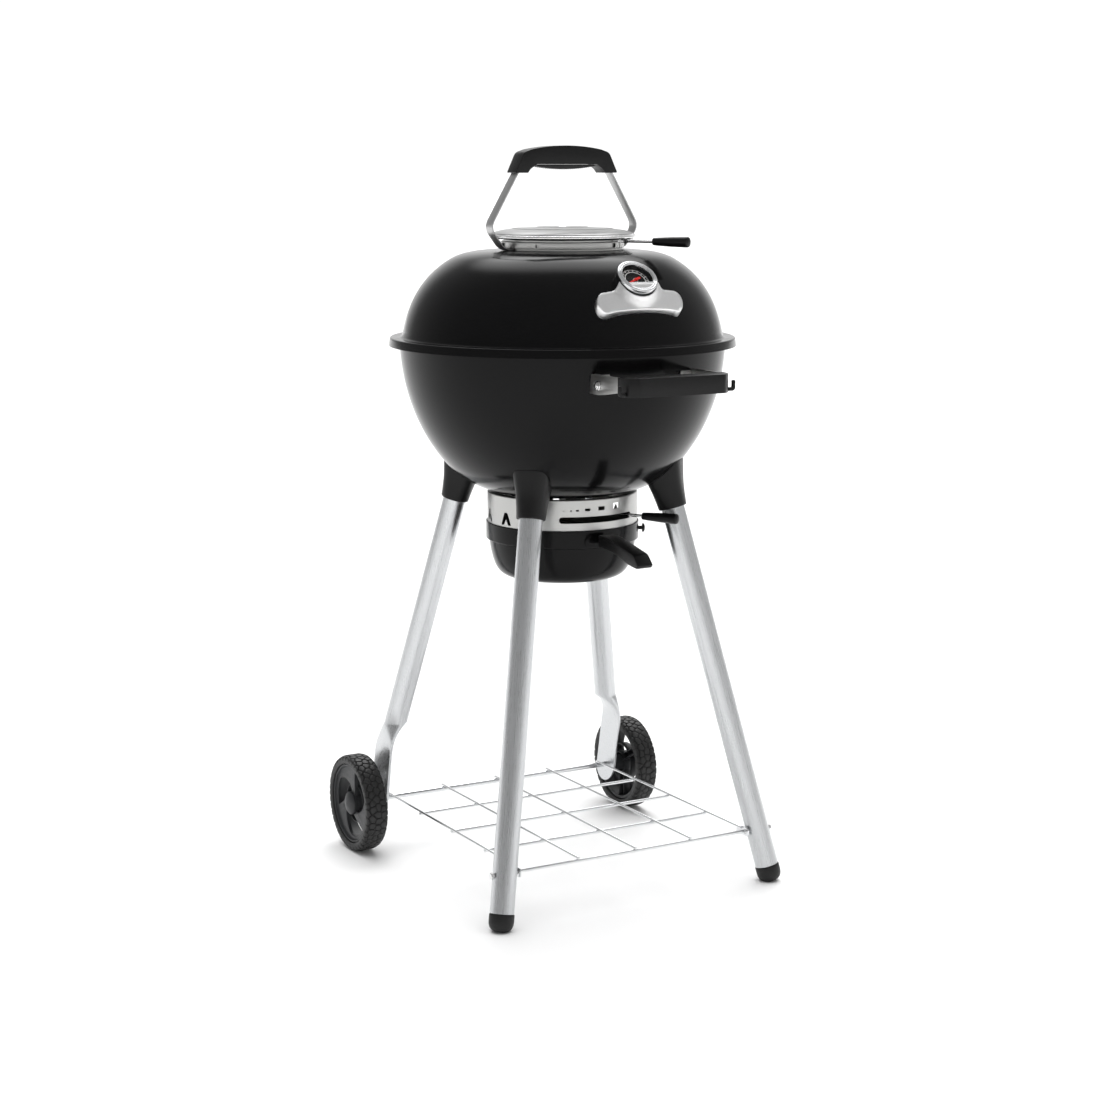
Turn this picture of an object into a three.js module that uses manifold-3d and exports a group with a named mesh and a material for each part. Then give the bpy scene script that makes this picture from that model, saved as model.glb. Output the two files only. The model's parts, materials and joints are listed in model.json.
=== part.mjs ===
// Kettle charcoal grill: an 18 in kettle on four splayed tube legs, two of them on wheels.
// Millimetres, +Z up. The kettle is turned about its own vertical axis, the front handle faces -Y
// and the wheels are at +Y. The exported group is moved in Y so that the origin is the middle of
// the footprint on the floor.
import * as THREE from 'three';
import { mergeVertices } from 'three/addons/utils/BufferGeometryUtils.js';
import Module from 'manifold-3d';

const wasm = await Module();
wasm.setup();

// ---------------------------------------------------------------- driving dimensions
const GAP = 0.3; // between pieces that touch
const SHEET = 1.6; // enamelled steel sheet
const AROUND = 32; // facets round the kettle
const FRONT = -90; // bearings, in degrees from +X
const LEVER_BEARING = -60;

// Domes are squashed superellipses: half width a, half height b about height z, power n.
const LID_DOME = { a: 243, b: 220.8, z: 739.6, n: 2.87 };
const BOWL_DOME = { a: 243.1, b: 276.4, z: 827.3, n: 2.11 };
const FLANGE_TOP = 816.5;
const FLANGE_RADIUS = 258.5;
const BAND_BOTTOM = 804.3;
const LID_CROWN = 944; // flat top of the lid
const LID_CROWN_RADIUS = 100;
const LID_SHOULDER = 931; // where the dome turns into the crown
const BOWL_RIM = 814.5;
const BOWL_WALL_TOP = 802;
const BOWL_HIP = 632; // where the dome turns into the shallow bottom
const BOWL_SEAT = { r: 113, z: 587.6 }; // over the damper housing
const BOWL_FLOOR = 581;

const VENT_RING = 91;
const VENT_RING_HEIGHT = 10;
const CAP_RADIUS = 109.5;
const CAP_RIM = 961;
const CAP_TOP = 979;

const HOUSING_RADIUS = 113.2;
const HOUSING_TOP = 585.7;
const PAN_BAND_RADIUS = 115.4;
const PAN_BAND_TOP = 539.9;
const PAN_BAND_BOTTOM = 512.9;
const PAN_BOTTOM = 454.5;
const SLOT_Z = 555.5; // the bottom lever's slot
const SWEEP_TRAVEL = 60; // degrees, full open to shut

const LEG_TUBE = 17.5; // outer radius
const LEG_WALL = 1.5;
const LEG_FOOT_REACH = 328.2; // distance of the leg's axis from the kettle's axis at the floor
const LEG_SLOPE = 0.2786; // how much that shrinks per millimetre of height
const LEG_TOP = 592;
const SOCKET_BOTTOM = 565;
const FLAT_X = 209; // plane of the flattened ends of the rear legs
const FLAT_HALF = 28;
const FLAT_THICK = 4;
const FLAT_TOP = 205; // where the tube starts to flatten
const FLAT_FULL = 150; // where it is flat

const WHEEL_RADIUS = 76;
const WHEEL_WIDTH = 36;
const WHEEL_X = 246.5;
const HUB_RADIUS = 62;
const AXLE_RADIUS = 4;
const AXLE_Y = 217.4;

const HANDLE_REACH = 333; // front face of the front grip
const HANDLE_ARM_X = 82;
const HANDLE_Z = 770;

// ---------------------------------------------------------------- solids
const RAD = Math.PI / 180;
const v2 = (x, y) => new THREE.Vector2(x, y);
const v3 = (x, y, z) => new THREE.Vector3(x, y, z);

// A closed body from any closed geometry, with its faces pointing out.
function solid(geometry) {
  const bare = new THREE.BufferGeometry();
  bare.setAttribute('position', geometry.getAttribute('position').clone());
  if (geometry.index) bare.setIndex(geometry.index.clone());
  const merged = mergeVertices(bare, 1e-3);
  const place = merged.getAttribute('position').array;
  const index = merged.index.array;
  const kept = [];
  let volume = 0;
  const a = v3();
  const b = v3();
  const c = v3();
  for (let i = 0; i < index.length; i += 3) {
    const [p, q, r] = [index[i], index[i + 1], index[i + 2]];
    if (p === q || q === r || r === p) continue;
    kept.push(p, q, r);
    a.fromArray(place, 3 * p);
    b.fromArray(place, 3 * q);
    c.fromArray(place, 3 * r);
    volume += a.dot(b.cross(c));
  }
  if (volume < 0) kept.reverse();
  const mesh = new wasm.Mesh({
    numProp: 3,
    vertProperties: new Float32Array(place),
    triVerts: new Uint32Array(kept),
  });
  return new wasm.Manifold(mesh);
}

function geometryOf(body) {
  const mesh = body.getMesh();
  const geometry = new THREE.BufferGeometry();
  geometry.setAttribute('position', new THREE.BufferAttribute(mesh.vertProperties, 3));
  geometry.setIndex(new THREE.BufferAttribute(mesh.triVerts, 1));
  return geometry;
}

const joined = (bodies) => bodies.reduce((whole, body) => whole.add(body));
const cut = (body, tools) => tools.reduce((rest, tool) => rest.subtract(tool), body);
const largest = (body) => body.decompose().sort((a, b) => b.volume() - a.volume())[0];

// Turned solid about Z. The outline of [radius, height] points either starts and ends on the axis
// or is a loop, which is closed here.
function turned(outline, facets = AROUND) {
  const loop = outline.map(([r, z]) => v2(r, z));
  const onAxis = outline[0][0] === 0 && outline.at(-1)[0] === 0;
  if (!onAxis) loop.push(loop[0].clone());
  const geometry = new THREE.LatheGeometry(loop, facets);
  geometry.rotateX(Math.PI / 2);
  return geometry;
}

const moved = (geometry, x, y, z) => geometry.translate(x, y, z);
const spun = (geometry, degrees) => geometry.rotateZ(degrees * RAD);

// Points a geometry's +Z along a direction and puts its origin at a place.
function aimed(geometry, direction, place) {
  const turn = new THREE.Quaternion().setFromUnitVectors(v3(0, 0, 1), direction.clone().normalize());
  return geometry.applyQuaternion(turn).translate(place.x, place.y, place.z);
}

function rod(from, to, radius, facets = 8) {
  const span = to.clone().sub(from);
  const geometry = new THREE.CylinderGeometry(radius, radius, span.length(), facets);
  geometry.rotateX(Math.PI / 2).translate(0, 0, span.length() / 2);
  return aimed(geometry, span, from);
}

const box = (w, d, h, x, y, z) => moved(new THREE.BoxGeometry(w, d, h), x, y, z);

// A flat outline [x, y] pushed up from z = 0.
function plate(outline, thick, holes = []) {
  const shape = new THREE.Shape(outline.map(([x, y]) => v2(x, y)));
  holes.forEach((hole) => shape.holes.push(new THREE.Path(hole.map(([x, y]) => v2(x, y)))));
  return new THREE.ExtrudeGeometry(shape, { depth: thick, bevelEnabled: false });
}

// An outline in the YZ plane, pushed along X and centred on x.
function sidePlate(outline, thick, x) {
  const geometry = plate(outline, thick);
  geometry.applyMatrix4(new THREE.Matrix4().makeBasis(v3(0, 1, 0), v3(0, 0, 1), v3(1, 0, 0)));
  return moved(geometry, x - thick / 2, 0, 0);
}

// An outline in the XZ plane, pushed along Y and centred on y.
function frontPlate(outline, deep, y) {
  const geometry = plate(outline, deep);
  geometry.applyMatrix4(new THREE.Matrix4().makeBasis(v3(1, 0, 0), v3(0, 0, 1), v3(0, -1, 0)));
  return moved(geometry, 0, y + deep / 2, 0);
}

// A wedge from the Z axis between two bearings, for cutting rings and discs.
function sector(radius, from, to, low, high) {
  const rim = [];
  for (let k = 0; k <= 6; k++) {
    const at = (from + ((to - from) * k) / 6) * RAD;
    rim.push([radius * Math.cos(at), radius * Math.sin(at)]);
  }
  return moved(plate([[0, 0], ...rim], high - low), 0, 0, low);
}

// A box standing on a bearing: its width is across the bearing, its depth along it.
function bearingBox(bearing, radius, width, depth, height, z) {
  return spun(box(depth, width, height, radius, 0, z), bearing);
}

function polar(radius, bearing, z) {
  return v3(radius * Math.cos(bearing * RAD), radius * Math.sin(bearing * RAD), z);
}

// Offsets an open outline to its left, point by point.
function offset(outline, distance) {
  return outline.map((point, i) => {
    const before = outline[Math.max(i - 1, 0)];
    const after = outline[Math.min(i + 1, outline.length - 1)];
    const dx = after[0] - before[0];
    const dy = after[1] - before[1];
    const length = Math.hypot(dx, dy);
    return [point[0] - (dy / length) * distance, point[1] + (dx / length) * distance];
  });
}

function curve(kind, ends, steps) {
  return new kind(...ends.map(([x, y]) => v2(x, y))).getPoints(steps).map((p) => [p.x, p.y]);
}

function domeRadius(dome, z) {
  const rise = Math.abs(z - dome.z) / dome.b;
  return dome.a * (1 - rise ** dome.n) ** (1 / dome.n);
}

function domeOutline(dome, from, to, steps) {
  return Array.from({ length: steps + 1 }, (_, k) => {
    const z = from + ((to - from) * k) / steps;
    return [domeRadius(dome, z), z];
  });
}

// ---------------------------------------------------------------- the object's list of meshes
const grill = new THREE.Group();
const kettle = new THREE.Group();
kettle.position.y = (HANDLE_REACH - AXLE_Y - WHEEL_RADIUS) / 2;
grill.add(kettle);

const FINISH = {
  enamel: { color: 0x0e0e0f, roughness: 0.12, metalness: 0 },
  steel: { color: 0xb9bbbb, roughness: 0.35, metalness: 1 },
  chrome: { color: 0xd5d7d8, roughness: 0.12, metalness: 1 },
  wire: { color: 0xcfd2d4, roughness: 0.25, metalness: 1 },
  tube: { color: 0xc3c5c7, roughness: 0.4, metalness: 1 },
  plastic: { color: 0x161617, roughness: 0.5, metalness: 0 },
  hub: { color: 0x3a3b3d, roughness: 0.55, metalness: 0 },
  rubber: { color: 0x1d1d1e, roughness: 0.85, metalness: 0 },
  iron: { color: 0x2b2a29, roughness: 0.6, metalness: 0.6 },
  dial: { color: 0x101010, roughness: 0.6, metalness: 0 },
  needle: { color: 0xc8241c, roughness: 0.4, metalness: 0 },
  glass: { color: 0xf4f8fa, roughness: 0.03, metalness: 0 },
};

function add(name, finish, shape) {
  const body = shape instanceof THREE.BufferGeometry ? solid(shape) : shape;
  const mesh = new THREE.Mesh(geometryOf(body), new THREE.MeshStandardMaterial(FINISH[finish]));
  mesh.name = name;
  kettle.add(mesh);
}

// ---------------------------------------------------------------- lid
const lidDomeRadius = (z) => domeRadius(LID_DOME, z);
const shoulderRadius = lidDomeRadius(LID_SHOULDER);
const crownCurve = curve(
  THREE.QuadraticBezierCurve,
  [
    [shoulderRadius, LID_SHOULDER],
    [shoulderRadius - 22, LID_CROWN],
    [LID_CROWN_RADIUS, LID_CROWN],
  ],
  2,
);
const lidOutside = [
  [FLANGE_RADIUS, BAND_BOTTOM],
  [FLANGE_RADIUS - 1.5, FLANGE_TOP],
  [lidDomeRadius(818) + 1.2, FLANGE_TOP],
  ...domeOutline(LID_DOME, FLANGE_TOP + 3, LID_SHOULDER, 5),
  ...crownCurve.slice(1),
  [0, LID_CROWN],
];
const lidInside = offset(lidOutside, SHEET);
lidInside[0] = [FLANGE_RADIUS - SHEET, BAND_BOTTOM];
lidInside[1] = [FLANGE_RADIUS - 1.5 - SHEET, FLANGE_TOP - SHEET];
lidInside[2] = [lidDomeRadius(818) - SHEET, FLANGE_TOP - SHEET];
lidInside[lidInside.length - 1] = [0, LID_CROWN - SHEET];

const THERMOMETER_TILT = 48; // degrees up from level
const thermometerAxis = v3(0, -Math.cos(THERMOMETER_TILT * RAD), Math.sin(THERMOMETER_TILT * RAD));
const thermometerFoot = v3(0, -lidDomeRadius(902), 902);

const VENT_HOLE = 17;
const VENT_HOLE_CIRCLE = 46;
const STRAP_SCREW_X = 71;
const lidHoles = [rod(v3(0, 0, 930), v3(0, 0, 950), 3.4)];
for (const bearing of [45, 135, 225, 315]) {
  const at = polar(VENT_HOLE_CIRCLE, bearing, 930);
  lidHoles.push(rod(at, at.clone().setZ(950), VENT_HOLE, 16));
}
for (const side of [-1, 1]) {
  const at = v3(side * STRAP_SCREW_X, 0, 930);
  lidHoles.push(rod(at, at.clone().setZ(950), 2.9));
}
lidHoles.push(
  rod(
    thermometerFoot.clone().addScaledVector(thermometerAxis, -15),
    thermometerFoot.clone().addScaledVector(thermometerAxis, 15),
    4.6,
  ),
);
const lidShell = cut(solid(turned([...lidOutside, ...lidInside.reverse()])), lidHoles.map(solid));
add('lid_shell', 'enamel', lidShell);

// Everything inside the lid's outer surface, for trimming what sits on it.
const onLid = offset(lidOutside, -GAP);
onLid[onLid.length - 1] = [0, LID_CROWN + GAP];
const lidSpace = solid(turned([[0, BAND_BOTTOM], ...onLid]));

// ---------------------------------------------------------------- lid vent
const SEAT = LID_CROWN + GAP;
const RING_Z = SEAT + 2.9;
const COLLAR = VENT_RING - 3.2;
const collarTop = CAP_RIM - 1.5;
const collarWindows = [];
const ringWindows = [];
for (let k = 0; k < 3; k++) {
  const start = -79 + 120 * k;
  collarWindows.push(solid(sector(120, start - 30, start - 12, RING_Z + 1.5, RING_Z + 8)));
  ringWindows.push(solid(sector(120, start, start + 18, RING_Z + 1.5, RING_Z + 8)));
}
const collar = turned([
  [COLLAR - 1.2, SEAT],
  [COLLAR, SEAT],
  [COLLAR, collarTop],
  [COLLAR - 1.2, collarTop],
]);
const spokes = [0, 60, 120].map((bearing) =>
  solid(spun(box(2 * COLLAR - 1, 9, 1.6, 0, 0, collarTop - 0.8), bearing + 30)),
);
const boltHole = solid(rod(v3(0, 0, 940), v3(0, 0, 990), 3.4));
const strapNotch = solid(box(2 * COLLAR + 10, 24, 5.6, 0, 0, SEAT));
const collarBody = joined([solid(collar), ...spokes]);
add('lid_vent_collar', 'steel', cut(collarBody, [...collarWindows, strapNotch, boltHole]));

const ringShape = turned([
  [VENT_RING - 1.3, RING_Z],
  [VENT_RING, RING_Z],
  [VENT_RING, RING_Z + VENT_RING_HEIGHT],
  [VENT_RING - 2.6, RING_Z + VENT_RING_HEIGHT],
  [VENT_RING - 2.6, RING_Z + VENT_RING_HEIGHT - 1.2],
  [VENT_RING - 1.3, RING_Z + VENT_RING_HEIGHT - 1.2],
]);
add('lid_vent_damper_ring', 'steel', cut(solid(ringShape), ringWindows));

// A flat-rooted rod and a tapered grip pointing out along a bearing.
const LEVER_ROD = 2.4;
function leverRod(start, end, z, rootLength) {
  const shaftStart = start + rootLength - 5;
  const shaft = rod(polar(shaftStart, LEVER_BEARING, z), polar(end, LEVER_BEARING, z), LEVER_ROD);
  const root = bearingBox(LEVER_BEARING, start + rootLength / 2, 14, rootLength, 1.6, z);
  return joined([solid(shaft), solid(root)]);
}
function leverGrip(start, end, z) {
  const long = end - start;
  const grip = turned(
    [
      [0, 0],
      [4.6, 0],
      [5.4, 0.8],
      [7.6, long - 3.5],
      [6.8, long - 1],
      [4.4, long],
      [0, long],
    ],
    16,
  );
  const bore = new THREE.CylinderGeometry(LEVER_ROD + 0.1, LEVER_ROD + 0.1, 44, 12).rotateX(Math.PI / 2);
  const body = solid(grip).subtract(solid(bore.translate(0, 0, 18)));
  const out = polar(1, LEVER_BEARING, 0);
  return solid(aimed(geometryOf(body), out, polar(start, LEVER_BEARING, z)));
}
const VENT_LEVER_Z = RING_Z + VENT_RING_HEIGHT + 1.1;
const VENT_GRIP = { start: 152, end: 211 };
add(
  'lid_vent_lever_rod',
  'steel',
  leverRod(VENT_RING - 2.6, VENT_GRIP.start + 38, VENT_LEVER_Z, 16),
);
add('lid_vent_lever_grip', 'plastic', leverGrip(VENT_GRIP.start, VENT_GRIP.end, VENT_LEVER_Z));

const capOutside = [
  [CAP_RADIUS, CAP_RIM],
  [CAP_RADIUS, CAP_RIM + 3],
  [CAP_RADIUS - 1.6, CAP_RIM + 5.4],
  ...curve(THREE.QuadraticBezierCurve, [[CAP_RADIUS - 5, CAP_RIM + 7], [60, CAP_TOP], [0, CAP_TOP]], 3),
];
const CAP_SHEET = 1.2;
const capInside = offset(capOutside, CAP_SHEET);
capInside[0] = [CAP_RADIUS - CAP_SHEET, CAP_RIM];
capInside[capInside.length - 1] = [0, CAP_TOP - CAP_SHEET];
add('lid_vent_cap', 'steel', cut(solid(turned([...capOutside, ...capInside.reverse()])), [boltHole]));

// The bolt stands on the collar's spokes and holds the cap on its shoulder.
const capBolt = turned(
  [
    [0, LID_CROWN - 8],
    [2.9, LID_CROWN - 8],
    [2.9, collarTop + GAP],
    [6, collarTop + GAP],
    [6, CAP_TOP - CAP_SHEET - GAP],
    [3, CAP_TOP - CAP_SHEET - GAP],
    [3, CAP_TOP + GAP],
    [7, CAP_TOP + GAP],
    [5.5, CAP_TOP + 2.6],
    [0, CAP_TOP + 3.2],
  ],
  16,
);
add('lid_vent_cap_bolt', 'steel', capBolt);

// ---------------------------------------------------------------- lid handle
const STRAP_WIDTH = 20;
const STRAP_THICK = 2.4;
const strapCorners = [
  [60, SEAT + STRAP_THICK / 2],
  [101, SEAT + STRAP_THICK / 2],
  [125.6, 977.5],
  [80, 1055],
  [67, 1075],
];
// Half of the strap's centre line: straight runs with rounded corners.
function rounded(corners, radii) {
  const points = [corners[0]];
  for (let i = 1; i < corners.length - 1; i++) {
    const here = v2(...corners[i]);
    const back = v2(...corners[i - 1]).sub(here);
    const ahead = v2(...corners[i + 1]).sub(here);
    const trim = Math.min(radii[i - 1], back.length() * 0.49, ahead.length() * 0.49);
    const from = here.clone().addScaledVector(back.normalize(), trim);
    const to = here.clone().addScaledVector(ahead.normalize(), trim);
    new THREE.QuadraticBezierCurve(from, here, to).getPoints(4).forEach((p) => points.push([p.x, p.y]));
  }
  points.push(corners.at(-1));
  return points;
}
const halfStrap = rounded(strapCorners, [10, 13, 10]);
const topRun = [[45, 1079.5], [0, 1082]];
const rightStrap = [...halfStrap, ...topRun];
const wholeStrap = [...rightStrap, ...rightStrap.slice(0, -1).reverse().map(([x, z]) => [-x, z])];
const strapBand = [
  ...offset(wholeStrap, STRAP_THICK / 2),
  ...offset(wholeStrap, -STRAP_THICK / 2).reverse(),
];
const strapHoles = [-1, 1].map((side) =>
  solid(rod(v3(side * STRAP_SCREW_X, 0, 940), v3(side * STRAP_SCREW_X, 0, 952), 2.9)),
);
add('lid_handle_strap', 'steel', cut(solid(frontPlate(strapBand, STRAP_WIDTH, 0)), strapHoles));
for (const [side, name] of [[-1, 'left'], [1, 'right']]) {
  const x = side * STRAP_SCREW_X;
  const top = SEAT + STRAP_THICK + GAP;
  const shank = rod(v3(x, 0, LID_CROWN - 9), v3(x, 0, top + 0.2), 2.6);
  const head = rod(v3(x, 0, top), v3(x, 0, top + 3), 5, 6);
  add(`lid_handle_screw_${name}`, 'steel', joined([shank, head].map(solid)));
}

// The grip is a saddle with two feet; the strap runs through a channel in it.
const GRIP_WIDTH = 28;
const gripTop = curve(THREE.QuadraticBezierCurve, [[69, 1087], [0, 1104], [-69, 1087]], 10);
const gripOutline = [
  [65, 1056],
  [86, 1056],
  ...gripTop,
  [-86, 1056],
  [-65, 1056],
  [-62, 1061],
  [-55.5, 1065.5],
  [-51.5, 1068.5],
  [51.5, 1068.5],
  [55.5, 1065.5],
  [62, 1061],
];
const channel = [
  ...offset(wholeStrap, STRAP_THICK / 2 + GAP),
  ...offset(wholeStrap, -STRAP_THICK / 2 - GAP).reverse(),
];
const gripBlock = solid(frontPlate(gripOutline, GRIP_WIDTH, 0));
add(
  'lid_handle_grip',
  'plastic',
  cut(gripBlock, [solid(frontPlate(channel, STRAP_WIDTH + 2 * GAP, 0))]),
);
const insertArc = curve(THREE.QuadraticBezierCurve, [[51, 1066.2], [0, 1056.5], [-51, 1066.2]], 10);
const insertOutline = [
  [46.5, 1068.2],
  [51, 1066.2],
  ...insertArc.slice(1, -1),
  [-51, 1066.2],
  [-46.5, 1068.2],
];
add('lid_handle_grip_pad', 'rubber', frontPlate(insertOutline.reverse(), GRIP_WIDTH - 4, 0));

// ---------------------------------------------------------------- thermometer and badge
const BEZEL = 30;
const BEZEL_FACE = 18; // how far the front stands off the lid
const onThermometer = (geometry) => aimed(geometry, thermometerAxis, thermometerFoot);
const bezelCase = turned([
  [BEZEL - 4, -22],
  [BEZEL - 1, -22],
  [BEZEL - 1, 9],
  [BEZEL, 11],
  [BEZEL, BEZEL_FACE - 2],
  [BEZEL - 2.5, BEZEL_FACE],
  [BEZEL - 6, BEZEL_FACE - 1],
  [BEZEL - 6, BEZEL_FACE - 3.2],
  [BEZEL - 4, BEZEL_FACE - 3.2],
], 24);
const STEM = 4;
const bezelFloor = turned([
  [STEM + GAP, 3],
  [BEZEL - 3, 3],
  [BEZEL - 3, 5],
  [STEM + GAP, 5],
], 24);
const bezelBody = joined([bezelCase, bezelFloor].map(solid));
add('thermometer_bezel', 'chrome', largest(solid(onThermometer(geometryOf(bezelBody))).subtract(lidSpace)));

const DIAL = BEZEL - 4 - GAP;
const dialDisc = turned([[STEM + GAP, 6.6], [DIAL, 6.6], [DIAL, 8], [STEM + GAP, 8]], 24);
add('thermometer_dial', 'dial', onThermometer(dialDisc));
const stem = turned([[0, -60], [3, -60], [3, 1], [STEM, 1], [STEM, 8.6], [0, 8.6]], 12);
add('thermometer_stem', 'steel', onThermometer(stem));
const nut = new THREE.CylinderGeometry(8, 8, 5, 6).rotateX(Math.PI / 2).translate(0, 0, -9.5);
const nutBody = solid(nut).subtract(solid(rod(v3(0, 0, -20), v3(0, 0, 0), 3.3)));
add('thermometer_nut', 'steel', onThermometer(geometryOf(nutBody)));
const NEEDLE_BEARING = 205; // at the cold end of the scale, seen from the front
const needleOutline = [[-6, -1.2], [3, -1.2], [17.5, -0.3], [17.5, 0.3], [3, 1.2], [-6, 1.2]];
const needleBlade = moved(plate(needleOutline, 0.8), 0, 0, 9.2);
spun(needleBlade, NEEDLE_BEARING);
const needleHub = turned([[0, 8.9], [2.6, 8.9], [2.6, 11.2], [0, 11.2]], 12);
add('thermometer_needle', 'needle', onThermometer(geometryOf(joined([needleBlade, needleHub].map(solid)))));
const lens = turned([[0, 12.6], [DIAL, 12.6], [DIAL, 14.5], [0, 14.5]], 24);
add('thermometer_lens', 'glass', onThermometer(lens));

// The badge is a blank arched banner with a neck up to the bezel, dished to follow the lid.
const BADGE_THICK = 6;
const badgeHalf = [
  [0, -42],
  [34, -42.8],
  [51, -44.5],
  [53, -47.5],
  [62, -48.5],
  [68, -44],
  [71.5, -33],
  [68, -21.5],
  [62, -16.5],
  [43, -16],
  [36, -14],
  [26, -5],
  [14, 24],
];
const badgeOutline = [...badgeHalf, ...badgeHalf.slice(1).reverse().map(([x, y]) => [-x, y])];
const badgePrism = moved(plate(badgeOutline, 70), 0, 0, -45);
const badgeFace = offset(lidOutside, -GAP - BADGE_THICK).slice(3);
const badgeOuter = solid(turned([[0, BAND_BOTTOM + 20], ...badgeFace]));
const badgeHole = solid(rod(v3(0, 0, -30), v3(0, 0, 30), BEZEL + GAP, 24));
const badgeCutter = solid(onThermometer(geometryOf(solid(badgePrism).subtract(badgeHole))));
const badge = badgeOuter.subtract(lidSpace).intersect(badgeCutter);
add('badge_plate', 'steel', largest(badge));

// ---------------------------------------------------------------- bowl
const hipRadius = domeRadius(BOWL_DOME, BOWL_HIP);
const bowlOutside = [
  [0, BOWL_FLOOR],
  [60, BOWL_FLOOR + 1.6],
  ...curve(
    THREE.QuadraticBezierCurve,
    [
      [BOWL_SEAT.r, BOWL_SEAT.z],
      [149.6, 600.4],
      [hipRadius, BOWL_HIP],
    ],
    3,
  ),
  ...domeOutline(BOWL_DOME, BOWL_HIP, BOWL_WALL_TOP, 5).slice(1),
];
const wallRadius = bowlOutside.at(-1)[0];
const bowlInside = offset(bowlOutside, SHEET);
bowlInside[0] = [0, BOWL_FLOOR + SHEET];
const rim = [
  [wallRadius, BOWL_RIM - 9],
  [wallRadius + 9, BOWL_RIM - 6],
  [wallRadius + 7, BOWL_RIM],
  [wallRadius - SHEET, BOWL_RIM - 2.4],
];
const bowlSheet = solid(turned([...bowlOutside, ...rim, ...[...bowlInside].reverse()]));
const GRATE_Z = 797; // centre of the cooking grate's rim
const GRATE_WIRE = 2.6;
const tabs = [45, 135, 225, 315].map((bearing) =>
  solid(bearingBox(bearing, 230.5, 16, 21, 3, GRATE_Z - GRATE_WIRE - GAP - 1.5)),
);
const ventSectors = [60, 180, 300].map((bearing) =>
  solid(sector(92, bearing - 21, bearing + 21, BOWL_FLOOR - 5, BOWL_SEAT.z + 5)).subtract(
    solid(rod(v3(0, 0, BOWL_FLOOR - 8), v3(0, 0, BOWL_FLOOR + 20), 28, 24)),
  ),
);
const pivotHole = solid(rod(v3(0, 0, BOWL_FLOOR - 8), v3(0, 0, BOWL_FLOOR + 20), 6));
add('bowl_shell', 'enamel', cut(joined([bowlSheet, ...tabs]), [...ventSectors, pivotHole]));
const bowlFace = offset(bowlOutside, -GAP).map(([r, z]) => [Math.max(r, 0), z]);
const bowlSpace = solid(turned([...bowlFace, [0, BOWL_WALL_TOP]]));

// ---------------------------------------------------------------- grates
// A round wire grate: a rim, parallel wires across it and two cross wires under them.
function grate(radius, z, wire, pitch) {
  const section = [
    [radius - wire, z - wire],
    [radius + wire, z - wire],
    [radius + wire, z + wire],
    [radius - wire, z + wire],
  ];
  const bodies = [solid(turned(section, 28))];
  const thin = wire * 0.75;
  for (let y = pitch / 2; y < radius - pitch / 3; y += pitch) {
    const half = Math.sqrt(radius ** 2 - y ** 2);
    for (const side of [-1, 1]) {
      bodies.push(solid(rod(v3(-half, side * y, z + 0.6), v3(half, side * y, z + 0.6), thin, 4)));
    }
  }
  for (const x of [-0.42 * radius, 0.42 * radius]) {
    const half = Math.sqrt(radius ** 2 - x ** 2);
    bodies.push(solid(rod(v3(x, -half, z - 0.9), v3(x, half, z - 0.9), thin, 4)));
  }
  return joined(bodies);
}
add('cooking_grate', 'chrome', grate(219, GRATE_Z, GRATE_WIRE, 30));
const COAL_GRATE = { radius: 167.5, z: 633.5, wire: 3, pitch: 36 };
add('charcoal_grate', 'iron', grate(COAL_GRATE.radius, COAL_GRATE.z, COAL_GRATE.wire, COAL_GRATE.pitch));

// ---------------------------------------------------------------- ash sweep and bottom lever
const sweepUnder = [[12, BOWL_FLOOR + 3], [60, BOWL_FLOOR + 4.2], [106, BOWL_SEAT.z + 2.4]];
const sweepSheet = turned([...sweepUnder, ...offset(sweepUnder, 2).reverse()]);
const sweepArms = [0, 120, 240].map((bearing) =>
  solid(sector(110, bearing - 25, bearing + 25, BOWL_FLOOR, BOWL_FLOOR + 20)),
);
const sweepHub = turned([
  [5.2, BOWL_FLOOR + 2.6],
  [24, BOWL_FLOOR + 3.6],
  [24, BOWL_FLOOR + 5.6],
  [5.2, BOWL_FLOOR + 5.6],
]);
add('ash_sweep_blades', 'iron', solid(sweepSheet).intersect(joined(sweepArms)).add(solid(sweepHub)));
const SWEEP_DROP = SLOT_Z - 3;
const pivot = turned(
  [
    [0, SWEEP_DROP],
    [4.8, SWEEP_DROP],
    [4.8, BOWL_FLOOR + 6.2],
    [9, BOWL_FLOOR + 6.2],
    [9, BOWL_FLOOR + 9],
    [0, BOWL_FLOOR + 10],
  ],
  16,
);
add('ash_sweep_pivot', 'steel', pivot);
const BOTTOM_GRIP = { start: 138, end: 197 };
const leverEye = turned([
  [5.1, SLOT_Z - 1.6],
  [12, SLOT_Z - 1.6],
  [12, SLOT_Z + 1.6],
  [5.1, SLOT_Z + 1.6],
], 16);
const bottomShaft = rod(
  polar(9, LEVER_BEARING, SLOT_Z),
  polar(BOTTOM_GRIP.start + 38, LEVER_BEARING, SLOT_Z),
  LEVER_ROD,
);
add('bottom_lever_rod', 'steel', joined([leverEye, bottomShaft].map(solid)));
add('bottom_lever_grip', 'plastic', leverGrip(BOTTOM_GRIP.start, BOTTOM_GRIP.end, SLOT_Z));

// ---------------------------------------------------------------- damper housing
const HOUSING_FOOT = 516.5;
const housingRing = turned([
  [HOUSING_RADIUS - 1.5, HOUSING_FOOT],
  [HOUSING_RADIUS, HOUSING_FOOT],
  [HOUSING_RADIUS, HOUSING_TOP],
  [98, HOUSING_TOP - 1.6],
  [98, HOUSING_TOP - 3],
  [HOUSING_RADIUS - 1.5, HOUSING_TOP - 1.5],
]);
const slotStart = LEVER_BEARING - SWEEP_TRAVEL - 2;
const slotEnd = LEVER_BEARING + 3.5;
const housingCuts = [sector(130, slotStart, slotEnd, SLOT_Z - 4.75, SLOT_Z + 4.75)];
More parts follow.
